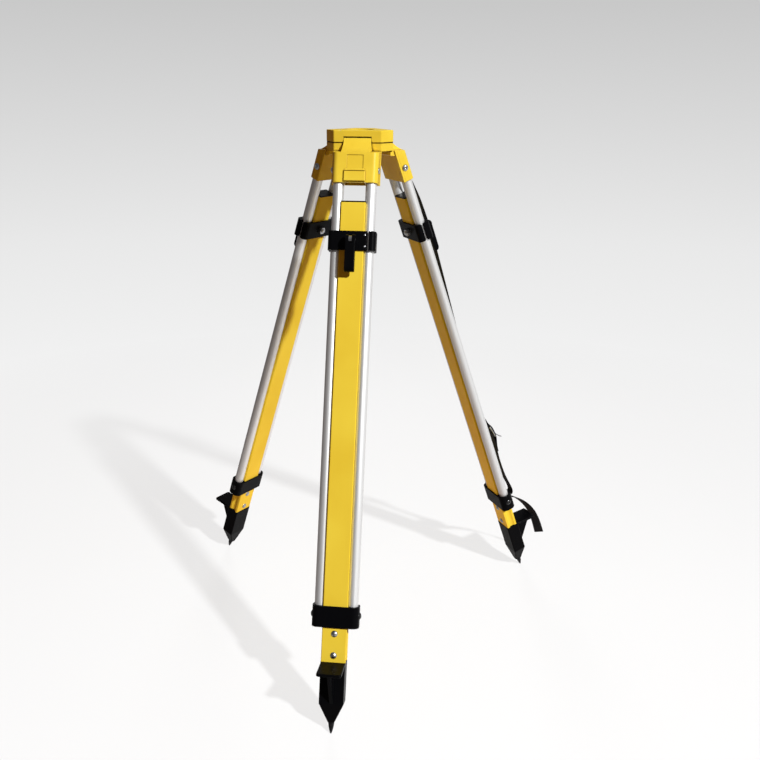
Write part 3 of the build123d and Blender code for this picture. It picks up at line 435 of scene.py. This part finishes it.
def yellow_plastic():
    """Yellow moulded plastic with a fine spark-eroded grain and painted shade in gaps and corners."""
    shader = Shader("yellow_moulded_plastic", YELLOW, roughness=0.35)
    place = shader.place()
    drift = shader.remap(shader.noise(place, scale=22, detail=3), *PATCHES)
    # Painted shade in gaps and inner corners
    painted_shade = shader.gap_shade(reach=0.004)
    shader.colour(shader.mix(painted_shade, shader.mix(drift, YELLOW, YELLOW_DEEP), PLASTIC_GAP_SHADE))
    shader.rough(shader.noise(place, scale=90, detail=4), low=0.30, high=0.40)
    grain = shader.noise(place, scale=1500, detail=3)
    shader.bump(grain, distance=0.0002, strength=0.25, round_edges=0.0010)
    shader.fix(Specular_IOR_Level=0.12)
    return shader.material


def yellow_profile(leg):
    """Yellow coat on a drawn profile, with faint lines along the leg."""
    shader = Shader(f"yellow_profile_{leg.name}", YELLOW, roughness=0.36)
    along = shader.leg_place(leg, stretch=0.02)
    drift = shader.remap(shader.noise(shader.place(), scale=9), *PATCHES)
    shader.colour(shader.mix(drift, YELLOW, YELLOW_DEEP))
    shader.rough(shader.noise(along, scale=240, detail=3), low=0.31, high=0.41)
    shader.bump(shader.noise(along, scale=900), distance=0.00012, strength=0.3, round_edges=0.0004)
    shader.fix(Specular_IOR_Level=0.04)
    return shader.material


def tube_aluminium(leg):
    """Satin drawn tube with fine streaks along its length."""
    shader = Shader(f"tube_aluminium_{leg.name}", ALUMINIUM, roughness=0.46, metallic=0.7)
    along = shader.leg_place(leg, stretch=0.008)
    streak = shader.noise(along, scale=1300, detail=3, roughness=0.6)
    shader.colour(shader.mix(shader.remap(streak, *STREAKS), ALUMINIUM, ALUMINIUM_DULL))
    shader.rough(shader.noise(along, scale=500), low=0.40, high=0.52)
    shader.bump(streak, distance=0.00008, strength=0.4)
    return shader.material


def black_plastic():
    """Black moulded plastic with a fine grain and a painted highlight on its edges."""
    shader = Shader("black_moulded_plastic", BLACK, roughness=0.32)
    place = shader.place()
    # Painted highlight: the edges are paler than the flat ground
    edge_highlight = shader.math("MULTIPLY", shader.edges(radius=0.0007), EDGE_HIGHLIGHT)
    shader.colour(shader.mix(edge_highlight, BLACK, BLACK_GREY))
    shader.rough(shader.noise(place, scale=120, detail=4), low=0.26, high=0.38)
    grain = shader.noise(place, scale=1800, detail=3)
    shader.bump(grain, distance=0.0002, strength=0.35, round_edges=0.0007)
    shader.fix(Specular_IOR_Level=0.03)
    return shader.material


def zinc_steel():
    """Bright zinc plate with a mottled bloom."""
    shader = Shader("zinc_plated_steel", ZINC, roughness=0.24, metallic=1.0)
    place = shader.place()
    bloom = shader.remap(shader.noise(place, scale=260, detail=4), *PATCHES)
    shader.colour(shader.mix(bloom, ZINC, ZINC_DULL))
    shader.rough(shader.noise(place, scale=420, detail=3), low=0.18, high=0.34)
    shader.bump(shader.noise(place, scale=2500), distance=0.00006, strength=0.3, round_edges=0.0003)
    return shader.material


def domed_steel():
    """Polished steel of the bracket's screws, the rivets, the clamp bolts and the buckle."""
    shader = Shader("polished_steel", STEEL, roughness=0.32, metallic=1.0)
    place = shader.place()
    bloom = shader.remap(shader.noise(place, scale=500, detail=3), *PATCHES)
    shader.colour(shader.mix(bloom, STEEL, STEEL_DULL))
    shader.rough(shader.noise(place, scale=800, detail=3), low=0.26, high=0.38)
    shader.bump(shader.noise(place, scale=2500), distance=0.00004, strength=0.3, round_edges=0.0003)
    return shader.material


def black_steel():
    """Blackened forged steel with a rough scale."""
    shader = Shader("black_forged_steel", BLACK_GREY, roughness=0.45, metallic=0.6)
    place = shader.place()
    flakes = shader.noise(place, scale=380, detail=5)
    shader.colour(shader.mix(shader.remap(flakes, *FLAKES), BLACK, FORGE_GREY))
    shader.rough(flakes, low=0.36, high=0.60)
    shader.bump(shader.noise(place, scale=900, detail=4), distance=0.0003, strength=0.4)
    return shader.material


def black_oxide():
    """Black oxide on a polished screw head, with a faint mottle."""
    shader = Shader("black_oxide_steel", BLACK, roughness=0.2)
    place = shader.place()
    shader.colour(shader.mix(shader.noise(place, scale=500, detail=3), BLACK, BLACK_GREY))
    shader.rough(shader.noise(place, scale=800, detail=3), low=0.16, high=0.26)
    shader.bump(shader.noise(place, scale=2500), distance=0.00004, strength=0.3, round_edges=0.0003)
    return shader.material


def brass():
    """Turned brass with a faint tarnish."""
    shader = Shader("turned_brass", BRASS, roughness=0.28, metallic=1.0)
    place = shader.place()
    shader.colour(shader.mix(shader.noise(place, scale=300, detail=3), BRASS, BRASS_DULL))
    shader.rough(shader.noise(place, scale=700), low=0.22, high=0.36)
    shader.bump(shader.noise(place, scale=2500), distance=0.00005, strength=0.4)
    return shader.material


def webbing():
    """Woven webbing: rows of crossing yarns, drawn in the strip's own width and length."""
    shader = Shader("woven_webbing", WEB_DARK, roughness=0.78)
    strip = shader.split(shader.node("ShaderNodeUVMap", uv_map="UVMap").outputs["UV"])
    across = shader.wave(strip["X"], YARNS_ACROSS)
    along = shader.wave(strip["Y"], YARNS_ALONG)
    crossings = shader.math("MULTIPLY", shader.math("MULTIPLY", across, along), CROSSING_SHARE)
    weave = shader.math("ADD", crossings, 0.5)
    weave = shader.math("ADD", weave, shader.math("MULTIPLY", across, WARP_SHARE))
    fuzz = shader.math("MULTIPLY", shader.noise(shader.place(), scale=3000, detail=3), FUZZ_SHARE)
    shade = shader.math("ADD", shader.math("MULTIPLY", weave, 1 - FUZZ_SHARE), fuzz)
    shader.colour(shader.mix(shade, WEB_DARK, WEB_LIGHT))
    shader.bump(weave, distance=0.0004, strength=0.8)
    shader.fix(Sheen_Weight=0.04, Sheen_Roughness=0.5, Specular_IOR_Level=0.15)
    return shader.material


def thread():
    """Twisted sewing thread, a little paler than the webbing."""
    shader = Shader("sewing_thread", WEB_LIGHT, roughness=0.7)
    twist = shader.noise(shader.place(), scale=4000)
    shader.colour(shader.mix(twist, WEB_LIGHT, THREAD_LIGHT))
    shader.bump(twist, distance=0.0002, strength=0.5)
    return shader.material


MATERIAL = {
    "yellow_coating": powder_coat(),
    "yellow_plastic": yellow_plastic(),
    "black_plastic": black_plastic(),
    "zinc_steel": zinc_steel(),
    "domed_steel": domed_steel(),
    "black_steel": black_steel(),
    "black_oxide": black_oxide(),
    "brass": brass(),
    "webbing": webbing(),
    "thread": thread(),
}
for name, leg in LEG.items():
    MATERIAL[f"yellow_profile_{name}"] = yellow_profile(leg)
    MATERIAL[f"tube_aluminium_{name}"] = tube_aluminium(leg)


def dress_nodes():
    """Give each solid its slot's finish, drawn along its own leg, or a polish."""
    for part in frame["record"]["subparts"]:
        slot = part["material_slot"]
        leg = part["node"].split("_")[0]
        finish = MATERIAL.get(slot) or MATERIAL[f"{slot}_{leg}"]
        if part["node"].endswith(POLISHED):
            finish = MATERIAL["domed_steel"]
        mesh = frame["nodes"][part["node"]].data
        mesh.materials.clear()
        mesh.materials.append(finish)


dress_nodes()


# Building blocks of pieces


def add_piece(name, data, body, finish, replaced=()):
    """A piece that rides on a body, has a finish and stands for some of the solids."""
    piece = bpy.data.objects.new(name, data)
    bpy.context.scene.collection.objects.link(piece)
    data.materials.append(finish)
    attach(piece, body)
    if replaced:
        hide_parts(*replaced)
    return piece


def finish_mesh(name, shape):
    """Turn a bmesh into a smooth-shaded mesh with outward faces."""
    bmesh.ops.recalc_face_normals(shape, faces=shape.faces[:])
    for face in shape.faces:
        face.smooth = True
    mesh = bpy.data.meshes.new(name)
    shape.to_mesh(mesh)
    shape.free()
    return mesh


def turns(steps):
    """Even turns round a circle, in radians."""
    return [2 * math.pi * index / steps for index in range(steps)]


def hexagon(turn):
    """Radius of a hexagon of inner radius 1, at a turn in radians."""
    return 1 / math.cos(turn % (math.pi / 3) - math.pi / 6)


def skin(shape, rows):
    """Join rows of points, each a ring of the same count, into one closed skin."""
    count = len(rows[0])
    for low, high in zip(rows, rows[1:]):
        for index in range(count):
            after = (index + 1) % count
            shape.faces.new((low[index], low[after], high[after], high[index]))
    shape.faces.new(rows[0])
    shape.faces.new(rows[-1])


def lathe(shape, rings, place, steps=24, hexed=0):
    """Turn rings of (radius, height) about Z into a closed skin, the last few as hexagons, at a place."""
    rows = []
    for number, (radius, height) in enumerate(rings):
        row = []
        for turn in turns(steps):
            reach = radius * (hexagon(turn) if number >= len(rings) - hexed else 1) * MM
            spot = Vector((reach * math.cos(turn), reach * math.sin(turn), height * MM))
            row.append(shape.verts.new(place @ spot))
        rows.append(row)
    skin(shape, rows)


def dome_rings(radius, height, rim, stop, count=6):
    """Rings of a dome over a straight rim, from its foot in to a last radius."""
    ball = (radius**2 + (height - rim) ** 2) / (2 * (height - rim))
    rings = [(radius, 0)]
    for index in range(count + 1):
        reach = radius + (stop - radius) * index / count
        rings.append((reach, height - ball + math.sqrt(ball**2 - reach**2)))
    return rings


# Screws and pins


def dome_screws(leg):
    """Button-head screws with a hexagonal socket, bright in the bracket's sides, black in the collar's."""
    rings = dome_rings(DOME_R, DOME_HEIGHT, DOME_RIM, SOCKET_BRIM_R)
    brim = rings[-1][1]
    floor = brim - SOCKET_DEPTH
    socket = [(SOCKET_R, brim), (SOCKET_R, floor), (SOCKET_TIP_R, floor - SOCKET_TIP)]
    seats = (
        ("bracket", BRACKET_SIDE, BRACKET_SCREW_AT, MATERIAL["domed_steel"]),
        ("collar", COLLAR_SIDE, COLLAR_SCREW_AT, MATERIAL["black_oxide"]),
    )
    for seat, aside, down, finish in seats:
        shape = bmesh.new()
        for side in (-1, 1):
            place = leg.place(side * aside, 0, down, leg.across * side)
            lathe(shape, rings + socket, place, hexed=len(socket))
        mesh = finish_mesh(f"{leg.name}_{seat}_screws", shape)
        add_piece(mesh.name, mesh, f"{leg.name}_leg", finish, [f"{leg.name}_tube_screws"])


def jaw_pins(leg):
    """Two pin ends in the outer jaw, beside the hooked arm."""
    shape = bmesh.new()
    rings = dome_rings(PIN_R, PIN_HEIGHT, PIN_RIM, PIN_TIP_R, count=3)
    for down in (CLAMP_AT - PIN_SPREAD, CLAMP_AT + PIN_SPREAD):
        lathe(shape, rings, leg.place(PIN_ACROSS[leg.name], JAW_FACE, down, leg.out), PIN_STEPS)
    mesh = finish_mesh(f"{leg.name}_jaw_pins", shape)
    add_piece(mesh.name, mesh, f"{leg.name}_slide", MATERIAL["zinc_steel"])


def thread_radius(drop, turn):
    """Radius of the fixing screw at a drop below the head's top, at a turn in radians."""
    if drop >= GROOVE_BOTTOM:
        return SCREW_R
    if drop >= GROOVE_TOP:
        return GROOVE_R
    wave = abs(((drop / SCREW_PITCH - turn / (2 * math.pi)) % 1) * 2 - 1)
    chamfer = SCREW_R - THREAD_CHAMFER + drop - SCREW_TIP_DROP
    return min(SCREW_R - THREAD_DEPTH * min(1.0, THREAD_FLANK * wave), chamfer)


def fixing_screw():
    """Instrument screw with its thread above the ring's groove, plain below."""
    head_top = cad_box[1][2]
    threaded = GROOVE_TOP - SCREW_TIP_DROP
    count = int(threaded / SCREW_PITCH * ROWS_PER_PITCH)
    drops = [SHANK_BOTTOM, GROOVE_BOTTOM, GROOVE_BOTTOM - GROOVE_EDGE, GROOVE_TOP]
    drops += [GROOVE_TOP - threaded * index / count for index in range(1, count + 1)]
    shape = bmesh.new()
    rows = []
    for drop in drops:
        row = []
        for turn in turns(SCREW_STEPS):
            reach = thread_radius(drop, turn) * MM
            spot = (reach * math.cos(turn), reach * math.sin(turn), head_top - drop * MM)
            row.append(shape.verts.new(spot))
        rows.append(row)
    skin(shape, rows)
    mesh = finish_mesh("threaded_screw", shape)
    add_piece(mesh.name, mesh, "screw", MATERIAL["zinc_steel"], ["fixing_screw"])


# Carry strap


def slack_run():
    """The strap's slack run: across, beyond the jaws' face, and as a share of the way to the collar."""
    return [
        (1.5, 2.5, 0.011), (8, 7.5, 0.031), (17, 14.5, 0.063), (23.5, 19, 0.091), (STRAP_SIDE, 21, 0.123),
        (STRAP_SIDE, 22, 0.167), (STRAP_SIDE, 21.8, 0.214), (STRAP_SIDE, 19.5, 0.284),
        (STRAP_SIDE, 16, 0.376), (STRAP_SIDE, 12.5, 0.467), (STRAP_SIDE, 9.5, 0.558),
        (STRAP_SIDE, 8, 0.636), (STRAP_SIDE, 8.2, 0.701), (STRAP_SIDE, 9.8, 0.741),
        (STRAP_SIDE, 12.3, 0.772), (STRAP_SIDE, BUCKLE_PROUD, BUCKLE_SHARE), (STRAP_SIDE, 18.7, 0.829),
        (STRAP_SIDE, 21.2, 0.852), (STRAP_SIDE, 20.4, 0.885), (STRAP_SIDE, 18.6, 0.923),
        (STRAP_SIDE, 19.5, 0.962),
    ]


def down_at(share):
    """Down the leg, at a share of the way from the bracket to the collar."""
    return BRACKET_DROP + share * (COLLAR_TOP - BRACKET_DROP)


def strap_route():
    """Middle of the strap from the bracket to the collar: across, outward and down the leg."""
    route = [(0, STRAP_SLOT, STRAP_SLOT_END), (0, STRAP_SLOT, BRACKET_DROP)]
    for across, proud, share in slack_run():
        route.append((across, JAW_FACE + proud, down_at(share)))
    # The fold at the collar: beyond the collar's face and down from its upper edge
    fold = [
        (20.5, -14), (22.5, 2), (25.5, 18), (27.5, 31), (27.6, 39), (25.5, 45), (21.5, 47), (17.5, 43.5),
        (14.5, 34), (12.3, 22), (10, 10), (7.9, 1.8), (5.9, -2.1), (3.7, -3.2), (1.9, -0.8),
    ]
    for proud, down in fold:
        route.append((STRAP_SIDE, COLLAR_FACE + proud, COLLAR_TOP + down))
    seat = COLLAR_TOP + STRAP_LUG_DROP / 2
    return route + [(STRAP_SIDE, STRAP_LUG, seat), (STRAP_SIDE, STRAP_LUG, TUBE_END)]


def strap_proud(share):
    """How far the strap's middle stands beyond the jaws' face, between two points of its run."""
    run = slack_run()
    after = next(index for index, point in enumerate(run) if point[2] >= share)
    _, low, start = run[after - 1]
    _, high, end = run[after]
    return low + (high - low) * (share - start) / (end - start)


def loop_route():
    """Middle of the loop sewn on the strap's outer side, out over the buckle's roller and frame."""
    # Off the strap's outer side, and as a share of the way to the collar
    bow = [
        (0, 0.775), (0, 0.787), (2.2, 0.797), (5.1, 0.806), (6.2, 0.818), (5.9, 0.8415), (3, 0.8556),
        (1.2, 0.868), (0, 0.88), (0, 0.895),
    ]
    seat = JAW_FACE + STRAP_THICK + STRAP_PLAY
    return [(STRAP_SIDE, seat + strap_proud(share) + lift, down_at(share)) for lift, share in bow]


def tail_route():
    """Middle of the free end, from the collar, out over the tread, to the cut end."""
    route = [(STRAP_SIDE, TAIL_LUG, COLLAR_TOP + STRAP_LUG_DROP), (STRAP_SIDE, TAIL_LUG, TUBE_END)]
    # Beside the strap's line, beyond the collar's face and down from the tubes' ends
    hang = [
        (0, 6, 7.5), (-1, 15, 15.5), (-3, 28, 25.5), (-6, 41, 41), (-9, 52, 61), (-12, 59, 83),
        (-14, 61.5, 108), (-15, 61.5, 130), (-15, 61, 150),
    ]
    for aside, proud, down in hang:
        route.append((STRAP_SIDE + aside, COLLAR_FACE + proud, TUBE_END + down))
    return route


def smooth_line(places):
    """Points along a smooth line that has a route's places as its control points."""
    curve = bpy.data.curves.new("line", "CURVE")
    curve.dimensions = "3D"
    curve.resolution_u = LINE_STEPS
    spline = curve.splines.new("NURBS")
    spline.points.add(len(places) - 1)
    for target, place in zip(spline.points, places):
        target.co = (*place, 1)
    spline.order_u = 3
    spline.use_endpoint_u = True
    holder = bpy.data.objects.new("line", curve)
    mesh = bpy.data.meshes.new_from_object(holder)
    line = [vertex.co.copy() for vertex in mesh.vertices]
    bpy.data.objects.remove(holder)
    bpy.data.curves.remove(curve)
    bpy.data.meshes.remove(mesh)
    return line


class Band:
    """Webbing along a line: places, widthwise and facing directions, and the length so far."""

    def __init__(self, leg, route, twist=0.0, flat=0.0):
        self.line = smooth_line([leg.point(*place) for place in route])
        self.length = [0.0]
        for before, after in zip(self.line, self.line[1:]):
            self.length.append(self.length[-1] + (after - before).length)
        self.across = []
        self.facing = []
        last = len(self.line) - 1
        for index in range(last + 1):
            along = (self.line[min(index + 1, last)] - self.line[max(index - 1, 0)]).normalized()
            turned = max(self.length[index] - flat, 0.0) / (self.length[-1] - flat)
            across = (leg.across - along * along.dot(leg.across)).normalized()
            across = Matrix.Rotation(math.radians(twist) * turned, 3, along) @ across
            self.across.append(across)
            self.facing.append(along.cross(across))

    def point(self, index, across, lift):
        """A place on the band, in millimetres from its middle line."""
        return self.line[index] + (self.across[index] * across + self.facing[index] * lift) * MM

    def nearest(self, length):
        """Number of the point of the line that is nearest to a length along it, in metres."""
        return min(range(len(self.line)), key=lambda index: abs(self.length[index] - length))

    def beside(self, place):
        """Length along the line at its point that is nearest to a place."""
        return self.length[min(range(len(self.line)), key=lambda index: (self.line[index] - place).length)]


def band_section():
    """Outline of the webbing's section: flat faces and rolled selvedges, across and through."""
    half = STRAP_WIDTH / 2
    thick = STRAP_THICK / 2
    face = [half - STRAP_SELVEDGE, half / 2, 0, -half / 2, STRAP_SELVEDGE - half]
    upper = [(across, thick) for across in face]
    lower = [(-across, -thick) for across in face]
    return [(half, 0), *upper, (-half, 0), *lower]


def add_band(name, band, node):
    """Webbing with its own width and length as texture coordinates, in metres."""
    shape = bmesh.new()
    layer = shape.loops.layers.uv.new("UVMap")
    strip = {}
    rows = []
    for index, length in enumerate(band.length):
        row = []
        for across, lift in band_section():
            vertex = shape.verts.new(band.point(index, across, lift))
            strip[vertex] = (across * MM, length)
            row.append(vertex)
        rows.append(row)
    skin(shape, rows)
    for face in shape.faces:
        for loop in face.loops:
            loop[layer].uv = strip[loop.vert]
    mesh = finish_mesh(name, shape)
    piece = add_piece(name, mesh, STRAP_BODY, MATERIAL["webbing"], [node])


def stitches(name, band, rows, faces=(-1, 1)):
    """Rows of stitches across a band, each row at a length along it, on its inner and outer face."""
    shape = bmesh.new()
    half = [(STITCH_TIP_R, STITCH / 2), (STITCH_THREAD / 2, STITCH / 4)]
    rings = [(radius, -height) for radius, height in half] + half[::-1]
    count = int((STRAP_WIDTH - 2 * STITCH_MARGIN) / STITCH_PITCH)
    for length in rows:
        index = band.nearest(length)
        for number in range(count):
            across = (number - (count - 1) / 2) * STITCH_PITCH
            for side in faces:
                turn = band.across[index].to_track_quat("Z", "Y").to_matrix().to_4x4()
                middle = band.point(index, across, side * STRAP_THICK / 2)
                lathe(shape, rings, Matrix.Translation(middle) @ turn, STITCH_STEPS)
    mesh = finish_mesh(name, shape)
    return add_piece(name, mesh, STRAP_BODY, MATERIAL["thread"])


# Buckle


def wire(name, places, thick, closed, matrix, replaced=()):
    """Round wire through places of a flat frame, given in millimetres."""
    curve = bpy.data.curves.new(name, "CURVE")
    curve.dimensions = "3D"
    curve.bevel_depth = thick / 2 * MM
    curve.bevel_resolution = WIRE_ROUNDING
    curve.use_fill_caps = True
    spline = curve.splines.new("POLY")
    spline.points.add(len(places) - 1)
    for target, place in zip(spline.points, places):
        target.co = (*(matrix @ (Vector(place) * MM)), 1)
    spline.use_cyclic_u = closed
    spline.use_smooth = True
    add_piece(name, curve, STRAP_BODY, MATERIAL["domed_steel"], replaced)


def rounded_frame(width, length, corner, steps=6):
    """Places round a rectangle with rounded corners, in its own plane."""
    places = []
    for quarter in range(4):
        side = 1 if quarter in (0, 3) else -1
        rise = 1 if quarter in (0, 1) else -1
        for step in range(steps + 1):
            turn = math.pi / 2 * (quarter + step / steps)
            x = side * (width / 2 - corner) + corner * math.cos(turn)
            y = rise * (length / 2 - corner) + corner * math.sin(turn)
            places.append((x, y, 0))
    return places


def buckle_frame(matrix):
    """Wire frame that leans out below its upper bar."""
    reach = BUCKLE_LENGTH - BUCKLE_WIRE
    outline = rounded_frame(BUCKLE_WIDTH - BUCKLE_WIRE, reach, BUCKLE_CORNER)
    lowered = [(x, y - reach / 2, z) for x, y, z in outline]
    wire("buckle_frame", lowered, BUCKLE_WIRE, True, matrix, ["strap_buckle"])


def buckle_roller(matrix):
    """Roller on the upper bar, split for the prong's eye."""
    shape = bmesh.new()
    start = PRONG_EYE_WIRE / 2 + STRAP_PLAY
    end = ROLLER_LENGTH / 2
    rings = [(ROLLER_R - ROLLER_LIP, start), (ROLLER_R, start + ROLLER_LIP)]
    rings += [(ROLLER_R, end - ROLLER_LIP), (ROLLER_R - ROLLER_LIP, end)]
    for side in (-1, 1):
        lathe(shape, rings, matrix @ Matrix.Rotation(side * math.pi / 2, 4, "Y"))
    mesh = finish_mesh("buckle_roller", shape)
    add_piece(mesh.name, mesh, STRAP_BODY, MATERIAL["domed_steel"])


def buckle_prong(matrix):
    """Prong that passes out through the loop and bends outward, with an eye round the upper bar."""
    lean = math.radians(PRONG_TILT)
    places = []
    for step in range(1, PRONG_STEPS + 1):
        share = step / PRONG_STEPS
        along = share * PRONG_LENGTH
        places.append((0, -along * math.cos(lean), along * math.sin(lean) + PRONG_BEND * share**3))
    wire("buckle_prong", places, PRONG_WIRE, False, matrix)
    circle = [(math.cos(turn), math.sin(turn)) for turn in turns(PRONG_EYE_STEPS)]
    eye = [(0, PRONG_EYE_R * rise, PRONG_EYE_R * lift) for rise, lift in circle]
    wire("buckle_prong_eye", eye, PRONG_EYE_WIRE, True, matrix)


def buckle(leg):
    """Buckle with its upper bar and roller on the strap."""
    face = JAW_FACE + BUCKLE_PROUD + STRAP_THICK / 2 + STRAP_PLAY + ROLLER_R
    matrix = leg.flat(STRAP_SIDE, face, down_at(BUCKLE_SHARE), BUCKLE_TILT)
    buckle_frame(matrix)
    buckle_roller(matrix)
    buckle_prong(matrix)


def carry_strap():
    """Strap, the loop sewn on it, the free end and the buckle."""
    leg = LEG[STRAP_LEG]
    strap = Band(leg, strap_route())
    loop = Band(leg, loop_route())
    rows = [offset * MM for offset in LOOP_ROWS]
    rows += [loop.length[-1] - offset * MM for offset in LOOP_ROWS]
    under = [strap.beside(loop.line[loop.nearest(length)]) for length in rows]
    seams = stitches("strap_stitches", strap, under, (-1,))
    add_band("strap_webbing", strap, "carry_strap")
    seams = stitches("loop_stitches", loop, rows, (1,))
    add_band("loop_webbing", loop, "strap_loop")
    tail = Band(leg, tail_route(), TAIL_TWIST, (TUBE_END - COLLAR_TOP - STRAP_LUG_DROP) * MM)
    hem = stitches("tail_stitches", tail, [tail.length[-1] - offset * MM for offset in HEM_ROWS])
    add_band("tail_webbing", tail, "strap_tail")
    buckle(leg)


for leg in LEG.values():
    dome_screws(leg)
    jaw_pins(leg)
fixing_screw()
carry_strap()


# Floor, light and camera


def add_floor():
    """Pale floor that keeps the shadow and fades into the backdrop away from the feet."""
    bpy.ops.mesh.primitive_circle_add(vertices=FLOOR_SIDES, radius=FLOOR_R, fill_type="NGON")
    floor = bpy.context.object
    floor.name = "floor"
    shader = Shader("floor", FLOOR_COLOUR, roughness=0.9)
    shader.fix(Specular_IOR_Level=0.1)
    reach = shader.node("ShaderNodeVectorMath", operation="LENGTH")
    shader.link(shader.place(), reach.inputs[0])
    start = FLOOR_FADE_FROM * FLOOR_R
    end = FLOOR_FADE_TO * FLOOR_R
    fade = shader.remap(reach.outputs["Value"], start, end, FLOOR_COVER, 0.0)
    shader.link(fade, shader.base.inputs["Alpha"])
    floor.data.materials.append(shader.material)


def backdrop_grey(nodes, heading):
    """Grey of the backdrop, which darkens upward."""
    ramp = nodes.node("ShaderNodeValToRGB")
    stops = ramp.color_ramp.elements
    stops.remove(stops[0])
    stops[0].position = (BACKDROP[0][0] + 1) / 2
    for rise, _ in BACKDROP[1:]:
        stops.new((rise + 1) / 2)
    for stop, (_, grey) in zip(stops, BACKDROP):
        stop.color = (grey, grey, grey, 1)
    nodes.link(nodes.remap(nodes.split(heading)["Z"], -1.0, 1.0), ramp.inputs["Fac"])
    return ramp.outputs["Color"]


def add_background(nodes, colour, strength):
    made = nodes.node("ShaderNodeBackground")
    nodes.feed(made.inputs["Color"], colour)
    nodes.feed(made.inputs["Strength"], strength)
    return made.outputs["Background"]


def add_world():
    """Even light for the object, and a pale backdrop for the camera and, darker on one side, for metal."""
    world = bpy.data.worlds.new("studio")
    bpy.context.scene.world = world
    world.use_nodes = True
    world.node_tree.nodes.clear()
    nodes = Nodes(world.node_tree)
    heading = nodes.node("ShaderNodeTexCoord").outputs["Generated"]
    grey = backdrop_grey(nodes, heading)
    turned = nodes.dot(heading, BRIGHT_HEADING)
    side = nodes.remap(turned, -BRIGHT_SPAN, BRIGHT_SPAN, DARK_SIDE, 1.0, kind="SMOOTHSTEP")
    backdrop = add_background(nodes, grey, 1.0)
    mirrored = add_background(nodes, grey, side)
    path = nodes.node("ShaderNodeLightPath").outputs
    seen = nodes.math("MAXIMUM", path["Is Camera Ray"], path["Is Transmission Ray"])
    shown = add_background(nodes, WORLD_TINT, WORLD_LIGHT)
    for use, other in ((seen, backdrop), (path["Is Glossy Ray"], mirrored)):
        mix = nodes.node("ShaderNodeMixShader")
        nodes.link(use, mix.inputs["Fac"])
        nodes.link(shown, mix.inputs[1])
        nodes.link(other, mix.inputs[2])
        shown = mix.outputs["Shader"]
    nodes.link(shown, nodes.node("ShaderNodeOutputWorld").inputs["Surface"])


def add_lamp(name, place, aim, size, power, colour=WHITE_LIGHT, spread=180, mirrored=False):
    """Round soft lamp, with size in metres, power in watts and spread in degrees; metal may mirror it."""
    lamp = bpy.data.lights.new(name, "AREA")
    lamp.color = colour
    lamp.shape = "DISK"
    lamp.size = size
    lamp.energy = power
    lamp.spread = math.radians(spread)
    holder = bpy.data.objects.new(name, lamp)
    holder.location = place
    holder.rotation_euler = (Vector(aim) - Vector(place)).to_track_quat("-Z", "Y").to_euler()
    holder.visible_camera = False
    holder.visible_glossy = mirrored
    bpy.context.scene.collection.objects.link(holder)


def add_camera():
    """Camera at the photograph's place, turned by its yaw, pitch and roll."""
    yaw = math.radians(CAMERA_YAW)
    pitch = math.radians(CAMERA_PITCH)
    roll = math.radians(CAMERA_ROLL)
    ahead = Vector((math.sin(yaw) * math.cos(pitch), math.cos(yaw) * math.cos(pitch), math.sin(pitch)))
    level = Vector((math.cos(yaw), -math.sin(yaw), 0))
    rise = level.cross(ahead)
    right = level * math.cos(roll) + rise * math.sin(roll)
    up = rise * math.cos(roll) - level * math.sin(roll)
    camera = bpy.data.cameras.new("camera")
    camera.sensor_width = SENSOR
    camera.lens = CAMERA_LENS
    holder = bpy.data.objects.new("camera", camera)
    axes = Matrix((right, up, -ahead)).transposed().to_4x4()
    holder.matrix_world = Matrix.Translation(CAMERA_PLACE) @ axes
    bpy.context.scene.collection.objects.link(holder)
    bpy.context.scene.camera = holder


add_floor()
add_world()
add_lamp("key", KEY_PLACE, LAMP_AIM, size=0.45, power=980, mirrored=True)
add_lamp("fill", FILL_PLACE, LAMP_AIM, size=2.5, power=2, colour=WARM_LIGHT)
add_lamp("back", BACK_PLACE, LAMP_AIM, size=1.3, power=13.5, spread=60)
add_lamp("bounce", BOUNCE_PLACE, BOUNCE_AIM, size=1.0, power=1.6, colour=WARM_LIGHT)
add_camera()
bpy.context.scene.view_settings.view_transform = "Standard"
